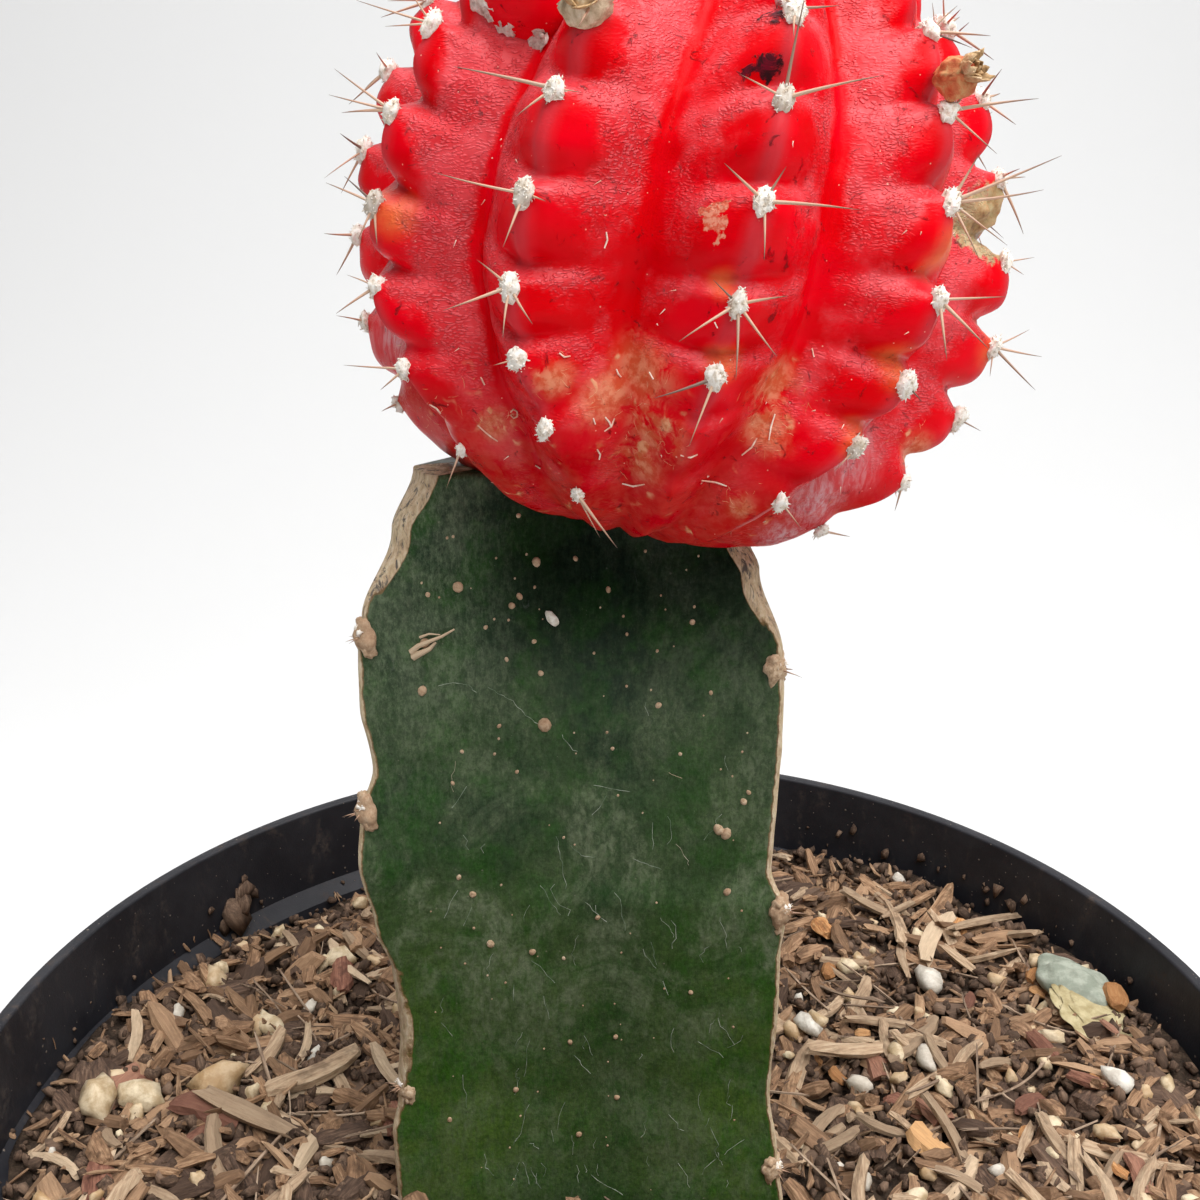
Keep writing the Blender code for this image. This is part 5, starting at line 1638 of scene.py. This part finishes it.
def makeAreoles(seats, tufts, wool, straw, seatTree, woolTree, strandTree):
    draw = random.Random(17)
    pads, paths = [], []
    for seat in seats:
        if (seat["rib"], seat["row"]) in bareAreoles:
            continue
        out, up, east = seat["out"], seat["up"], seat["east"]
        latitude = seat["latitude"]
        small = 1 - 0.35 * float(ease(-latitude, 20, 50)) - 0.3 * float(ease(latitude, 55, 75))
        size = [pad["wide"] * small * draw.uniform(0.85, 1.15)]
        size += [pad[side] * small * draw.uniform(0.85, 1.2) for side in ("high", "deep")]
        pads.append((seat["point"] + out * 0.1 - up * 0.25, out, (up + east * draw.uniform(-0.3, 0.3)),
            size))
        for way in spineWays(seat, draw):
            path = spinePath(seat, way, draw)
            paths.append((path, draw.random()))
    pads += tufts
    kinds = kindsOf("pad kinds", [lump(f"pad{i}", (0.92, 0.92, 0.92), 3, pad["rough"], i + 21, 1.4)
        for i in range(4)])
    host = grow(seatPoints("areole_wool", pads), seatTree, "areole_wool", Kinds=kinds, Material=wool)
    dropAll(kinds)
    kinds = kindsOf("wool kinds", [lump(f"wisp{i}", pad["hair"], 1, 0.4, i + 31) for i in range(3)])
    host = grow(host, woolTree, "areole_wool", Density=pad["hairs"], Smallest=0.6, Largest=1.3, Kinds=kinds,
        Material=wool)
    dropAll(kinds)
    spines = grow(strandLines("globe_spines", paths), strandTree, "globe_spines", Sides=7, Material=straw)
    for part in (host, spines):
        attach(part, "root")
    print("areoles:", len(pads), "wool pads,", len(paths), "spines;", len(host.data.polygons), "wool faces")


# Loose details of the skin: cork fibres low on the globe, curls, flakes and torn flaps

skinScraps = {"fibres": 260, "curls": 110, "flapLayers": 3}
# short curls and flakes of pale skin in front, each a line of picture places
frontCurls = (((597, 449), (600, 454), (599, 459)), ((605, 417), (609, 422), (611, 427)),
    ((478, 425), (486, 432), (492, 437), (498, 441)), ((616, 369), (618, 374), (621, 377)),
    ((481, 377), (483, 381), (485, 385)), ((511, 412), (514, 409), (518, 411), (518, 416), (514, 418),
    (511, 415)), ((559, 353), (564, 357), (570, 356)), ((604, 431), (611, 426), (614, 418)),
    ((650, 372), (654, 379)), ((681, 455), (690, 457), (697, 454)), ((622, 483), (634, 486), (645, 484)),
    ((742, 455), (752, 447), (757, 438)), ((769, 440), (771, 427), (775, 414)), ((536, 465), (541, 468)),
    ((593, 418), (595, 424)), ((452, 455), (456, 462)), ((430, 404), (437, 408), (441, 413)),
    ((701, 480), (716, 482), (727, 486)), ((606, 232), (607, 240), (604, 248)), ((715, 322), (718, 328)),
    ((812, 348), (814, 357)))
# torn flaps of skin, likewise
flapLines = (((472, 1), (480, 9), (489, 17), (499, 24), (509, 32), (519, 39)),
    ((524, 33), (532, 40), (541, 47), (549, 50)), ((776, 2), (784, 3), (792, 0)))


def blade(stations, points, faces, thick=0.05):
    # a thin closed leaf through stations of (middle, across, away, half width)
    first, ring = len(points), (0, 2, 4, 5, 3, 1)
    for middle, across, away, spread in stations:
        for k in (-1, 0, 1):
            edge = middle + across * spread * k - away * 0.3 * abs(k) * spread
            points += [edge + away * thick, edge - away * thick]
    for s in range(len(stations) - 1):
        a, b = first + s * 6, first + (s + 1) * 6
        for p, q in zip(ring, ring[1:] + ring[:1]):
            faces.append((a + p, b + p, b + q, a + q))
    faces.append(tuple(first + r for r in ring))
    faces.append(tuple(first + (len(stations) - 1) * 6 + r for r in reversed(ring)))


def addBlades(name, points, faces, material):
    piece = addMesh(name, points, faces, material)
    faceOutwards(piece.data)
    return piece


def onSkin(surface, x, y, lift=0.03):
    # the place on the globe that shows at a place in the picture
    hit, normal, _, _ = surface.ray_cast(Vector(view["place"]), sightTo(x, y))
    return (hit + normal * lift, normal) if hit else (None, None)


def skinFibres(surface, draw, strandTree):
    # fibres of cork film, in front where they show and round the rest of the low ribs
    starts = []
    middle = Vector(globe["centre"])
    for x, y, radius in frontMarks["scar"]:
        for i in range(int(2 * radius)):
            hit, normal = onSkin(surface, x + draw.gauss(0, 2.6 * radius), y + draw.gauss(0, 2.1 * radius))
            if hit:
                starts.append((hit, normal))
    for i in range(skinScraps["fibres"]):
        turn, drop = draw.uniform(0, 2 * math.pi), draw.uniform(-0.95, -0.45)
        way = Vector((*spun(1, turn), drop * 1.3)).normalized()
        hit, normal, _, _ = surface.ray_cast(middle + way * 40, -way)
        if hit and turn < math.pi:
            starts.append((hit, normal))
    paths = []
    for hit, normal in starts:
        way = Vector((draw.gauss(0, 1), draw.gauss(0, 1), draw.gauss(-0.5, 1)))
        path, at, up = [], hit, normal
        step = draw.uniform(0.04, 0.14)
        for i in range(7):
            way = way - up * way.dot(up) + Vector([draw.gauss(0, 0.35) for _ in range(3)])
            at, up, _, _ = surface.find_nearest(at + way.normalized() * step)
            path.append((at - up * 0.006, draw.uniform(0.01, 0.026) * (1 - abs(i - 3) / 5)))
        paths.append((path, draw.random()))
    return grow(strandLines("globe_cork_fibres", paths), strandTree, "globe_cork_fibres", Sides=5,
        Material=filmMaterial("cork fibres", (0.6, 0.13, 0.05), (0.74, 0.36, 0.2))), len(starts)


def skinCurls(surface, draw, strandTree):
    # short curls and flakes, in front each at its place and the rest thrown all round
    paths = []
    for line in frontCurls:
        path = []
        for i, (x, y) in enumerate(line):
            hit, _ = onSkin(surface, x, y, 0.05)
            if hit:
                path.append((hit, 0.055 - 0.03 * abs(i / (len(line) - 1) - 0.5)))
        if len(path) > 1:
            paths.append((path, draw.random()))
    for i in range(skinScraps["curls"]):
        turn, rise = draw.uniform(0, 2 * math.pi), draw.gauss(-0.3, 0.45)
        way = Vector((*spun(1, turn), rise)).normalized()
        hit, normal, _, _ = surface.ray_cast(Vector(globe["centre"]) + way * 40, -way)
        if hit:
            bend = (normal.orthogonal() + Vector([draw.gauss(0, 0.6) for _ in range(3)])).normalized()
            length = draw.uniform(0.12, 0.5)
            path = [(hit + normal * 0.03 + bend * length * s + normal * 0.08 * s * s, 0.035 * (1.1 - s))
                for s in (0, 0.5, 1)]
            paths.append((path, draw.random()))
    return grow(strandLines("globe_skin_curls", paths), strandTree, "globe_skin_curls", Sides=5,
        Material=filmMaterial("pale skin curls", (0.74, 0.4, 0.3), (0.9, 0.76, 0.64)))


def skinFlaps(surface, draw):
    # torn flaps in layers, each a blade along its line
    points, faces = [], []
    for whole in flapLines:
        for layer in range(skinScraps["flapLayers"]):
            stations = []
            lift, wide = 0.2 + 0.22 * layer, draw.uniform(0.34, 0.55) * (1 - 0.2 * layer)
            line = [(a[0] + (b[0] - a[0]) * t, a[1] + (b[1] - a[1]) * t) for a, b in zip(whole, whole[1:])
                for t in (0.0, 0.33, 0.66)]
            seats = [onSkin(surface, x + draw.uniform(-1, 1), y - 3 * layer,
                lift + draw.uniform(-0.12, 0.16)) for x, y in line]
            seats = [seat for seat in seats if seat[0]]
            for i, (at, normal) in enumerate(seats):
                along = (seats[min(i + 1, len(seats) - 1)][0] - seats[max(i - 1, 0)][0]).normalized()
                across = (normal.cross(along) + normal * draw.uniform(0.1, 0.9)).normalized()
                ends = 0.35 if i in (0, len(seats) - 1) else 1.0
                stations.append((at, across, along.cross(across), wide * ends * draw.uniform(0.3, 1.4)))
            if len(stations) > 1:
                blade(stations, points, faces, 0.035)
    paper = papery("torn skin paper", (0.26, 0.13, 0.1), (0.66, 0.52, 0.46), (0.9, 0.84, 0.8))
    return addBlades("globe_skin_flaps", points, faces, paper)


def dressGlobe(piece, strandTree):
    surface = treeOf(piece)
    draw = random.Random(53)
    fibres, count = skinFibres(surface, draw, strandTree)
    curls = skinCurls(surface, draw, strandTree)
    flaps = skinFlaps(surface, draw)
    for part in (fibres, curls, flaps):
        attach(part, "root")
    print("globe dressed with", count, "cork fibres and its curls and flaps")


def filmMaterial(name, dark, pale):
    material, tree, shader = newMaterial(name, Roughness=0.7, Specular_IOR_Level=0.3)
    shade = noiseOf(millimetres(tree), 1.6, 4.0)
    toned = plus(shade, between(value(tree, "tone"), 0.0, 1.0, -0.14, 0.14))
    dress(shader, Base_Color=mixed(between(toned, 0.38, 0.62), dark, pale), Normal=relief(shade, 0.03, 0.5))
    return material


# The small smooth offset and the dried bloom remains

offset = {"azimuth": -51.5, "latitude": 35.0, "distance": 18.1, "radius": 2.9}
bud = {"azimuth": 38.5, "latitude": 32.0, "distance": 20.7, "radius": 1.1}
flower = {"azimuth": -27.5, "latitude": 28.6, "distance": 20.8, "radius": 1.3}


def onGlobe(azimuth, latitude, distance):
    around, up = math.radians(azimuth), math.radians(latitude)
    local = Vector((distance * math.sin(around) * math.cos(up), -distance * math.cos(around) * math.cos(up),
        distance * math.sin(up)))
    return globeFrame @ local


def shapedBall(name, centre, radius, detail, shape, material):
    # a ball whose points are moved along their own direction by shape(direction), closed and outward
    build = bmesh.new()
    bmesh.ops.create_icosphere(build, subdivisions=detail, radius=1.0)
    for vertex in build.verts:
        vertex.co = (centre + vertex.co * radius * shape(vertex.co)) * mm
    mesh = builtMesh(name, build)
    mesh.materials.append(material)
    return standing(name, mesh)


def papery(name, dark, mid, pale):
    material, tree, shader = newMaterial(name, Roughness=0.78, Specular_IOR_Level=0.3)
    shade = noiseOf(millimetres(tree), 1.5, 6.0, 0.68, 0.5)
    paper = colours(shade, (0.3, dark), (0.5, mid), (0.68, pale))
    dress(shader, Base_Color=paper, Normal=relief(shade, 0.2, 0.8))
    return material


def petalRing(centre, out, count, length, width, flare, draw, points, faces, start=0.35):
    # shrivelled papery points round a bud, each a curled closed blade
    side = out.orthogonal().normalized()
    for i in range(count):
        turn = Matrix.Rotation(2 * math.pi * (i + draw.uniform(-0.2, 0.2)) / count, 3, out)
        away = turn @ side
        across = out.cross(away)
        reach = length * draw.uniform(0.75, 1.15)
        curl = draw.uniform(-0.4, 0.5)
        stations = []
        for s in range(7):
            t = s / 6
            spread = width * (1 - t) ** 0.6 * (0.7 + 0.5 * math.sin(math.pi * t)) * draw.uniform(0.8, 1.2)
            middle = centre + out * (start + reach * t) + away * (flare * (0.75 + 0.35 * math.sin(2.5 * t))
                + curl * t * t)
            stations.append((middle + across * draw.uniform(-0.06, 0.06), across, away, spread))
        blade(stations, points, faces)


def bloomPiece(name, node, place, count, length, width, flare, seed, materials, squash):
    # a wrinkled base ball with papery points
    draw = random.Random(seed)
    centre = onGlobe(place["azimuth"], place["latitude"], place["distance"])
    out = (centre - Vector(globe["centre"])).normalized()

    def wrinkled(way):
        pleat = 1 + 0.1 * math.sin(7 * math.atan2(way.cross(out).x, way.dot(Vector((0, 0, 1)))))
        pleat *= 1 - squash * max(0.0, way.dot(out))
        return pleat * (1 + 0.16 * noise.noise(way * 2.3 + Vector((seed, 0, 0))))

    base = shapedBall(name + "_base", centre, place["radius"], 4, wrinkled, materials[0])
    points, faces = [], []
    petalRing(centre, out, count, length, width, flare, draw, points, faces)
    length, width, flare = length * 0.75, width * 0.8, flare * 0.45     # the inner ring is smaller
    petalRing(centre, out, max(3, count - 3), length, width, flare, draw, points, faces, 0.5)
    tips = addBlades(name + "_points", points, faces, materials[1])
    for part in (base, tips):
        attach(part, "root")
        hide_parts(node)


def makeRemains(skin):
    centre = onGlobe(offset["azimuth"], offset["latitude"], offset["distance"])
    ball = shapedBall("globe_offset", centre, offset["radius"], 5,
        lambda way: 1 + 0.03 * noise.noise(way * 1.4), skin)
    for name in ("frostAndSheen", "low", "dried", "crest", "orange", "wound", "scar", "taut", "peel"):
        addValue(ball.data, name, [0.0] * len(ball.data.vertices))
    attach(ball, "root")

    tanPaper = papery("tan dried petals", (0.22, 0.12, 0.05), (0.52, 0.33, 0.16), (0.74, 0.58, 0.38))
    rustBase = papery("rusty bud base", (0.42, 0.03, 0.015), (0.58, 0.18, 0.07), (0.62, 0.38, 0.17))
    greyBase = papery("grey tan lump", (0.32, 0.22, 0.13), (0.62, 0.49, 0.33), (0.84, 0.75, 0.6))
    bloomPiece("dried_bud", "dried_bud", bud, 11, 1.15, 0.45, 0.62, 3, (rustBase, tanPaper), 0.15)
    bloomPiece("dried_flower", "dried_flower", flower, 8, 0.75, 0.62, 0.95, 8, (greyBase, tanPaper), 0.35)
    print("offset and dried bloom remains seated")


makeStage()
scatterTree, seatTree = makeScatterTree(), makeSeatTree()
woolTree, strandTree = makeWoolTree(), makeStrandTree()
cork, straw, wool = corkMaterial(), bristleMaterial(), woolMaterial()
makePot(blackPlastic())
stemPiece = makeRootstock(greenSkin())
tufts = dressStem(stemPiece, cork, straw, seatTree, strandTree)
makeSoil(scatterTree, seatTree)
skin = redSkin()
dressGlobe(makeGlobe(skin), strandTree)
makeAreoles(areoleSeats(), tufts, wool, straw, seatTree, woolTree, strandTree)
makeRemains(skin)
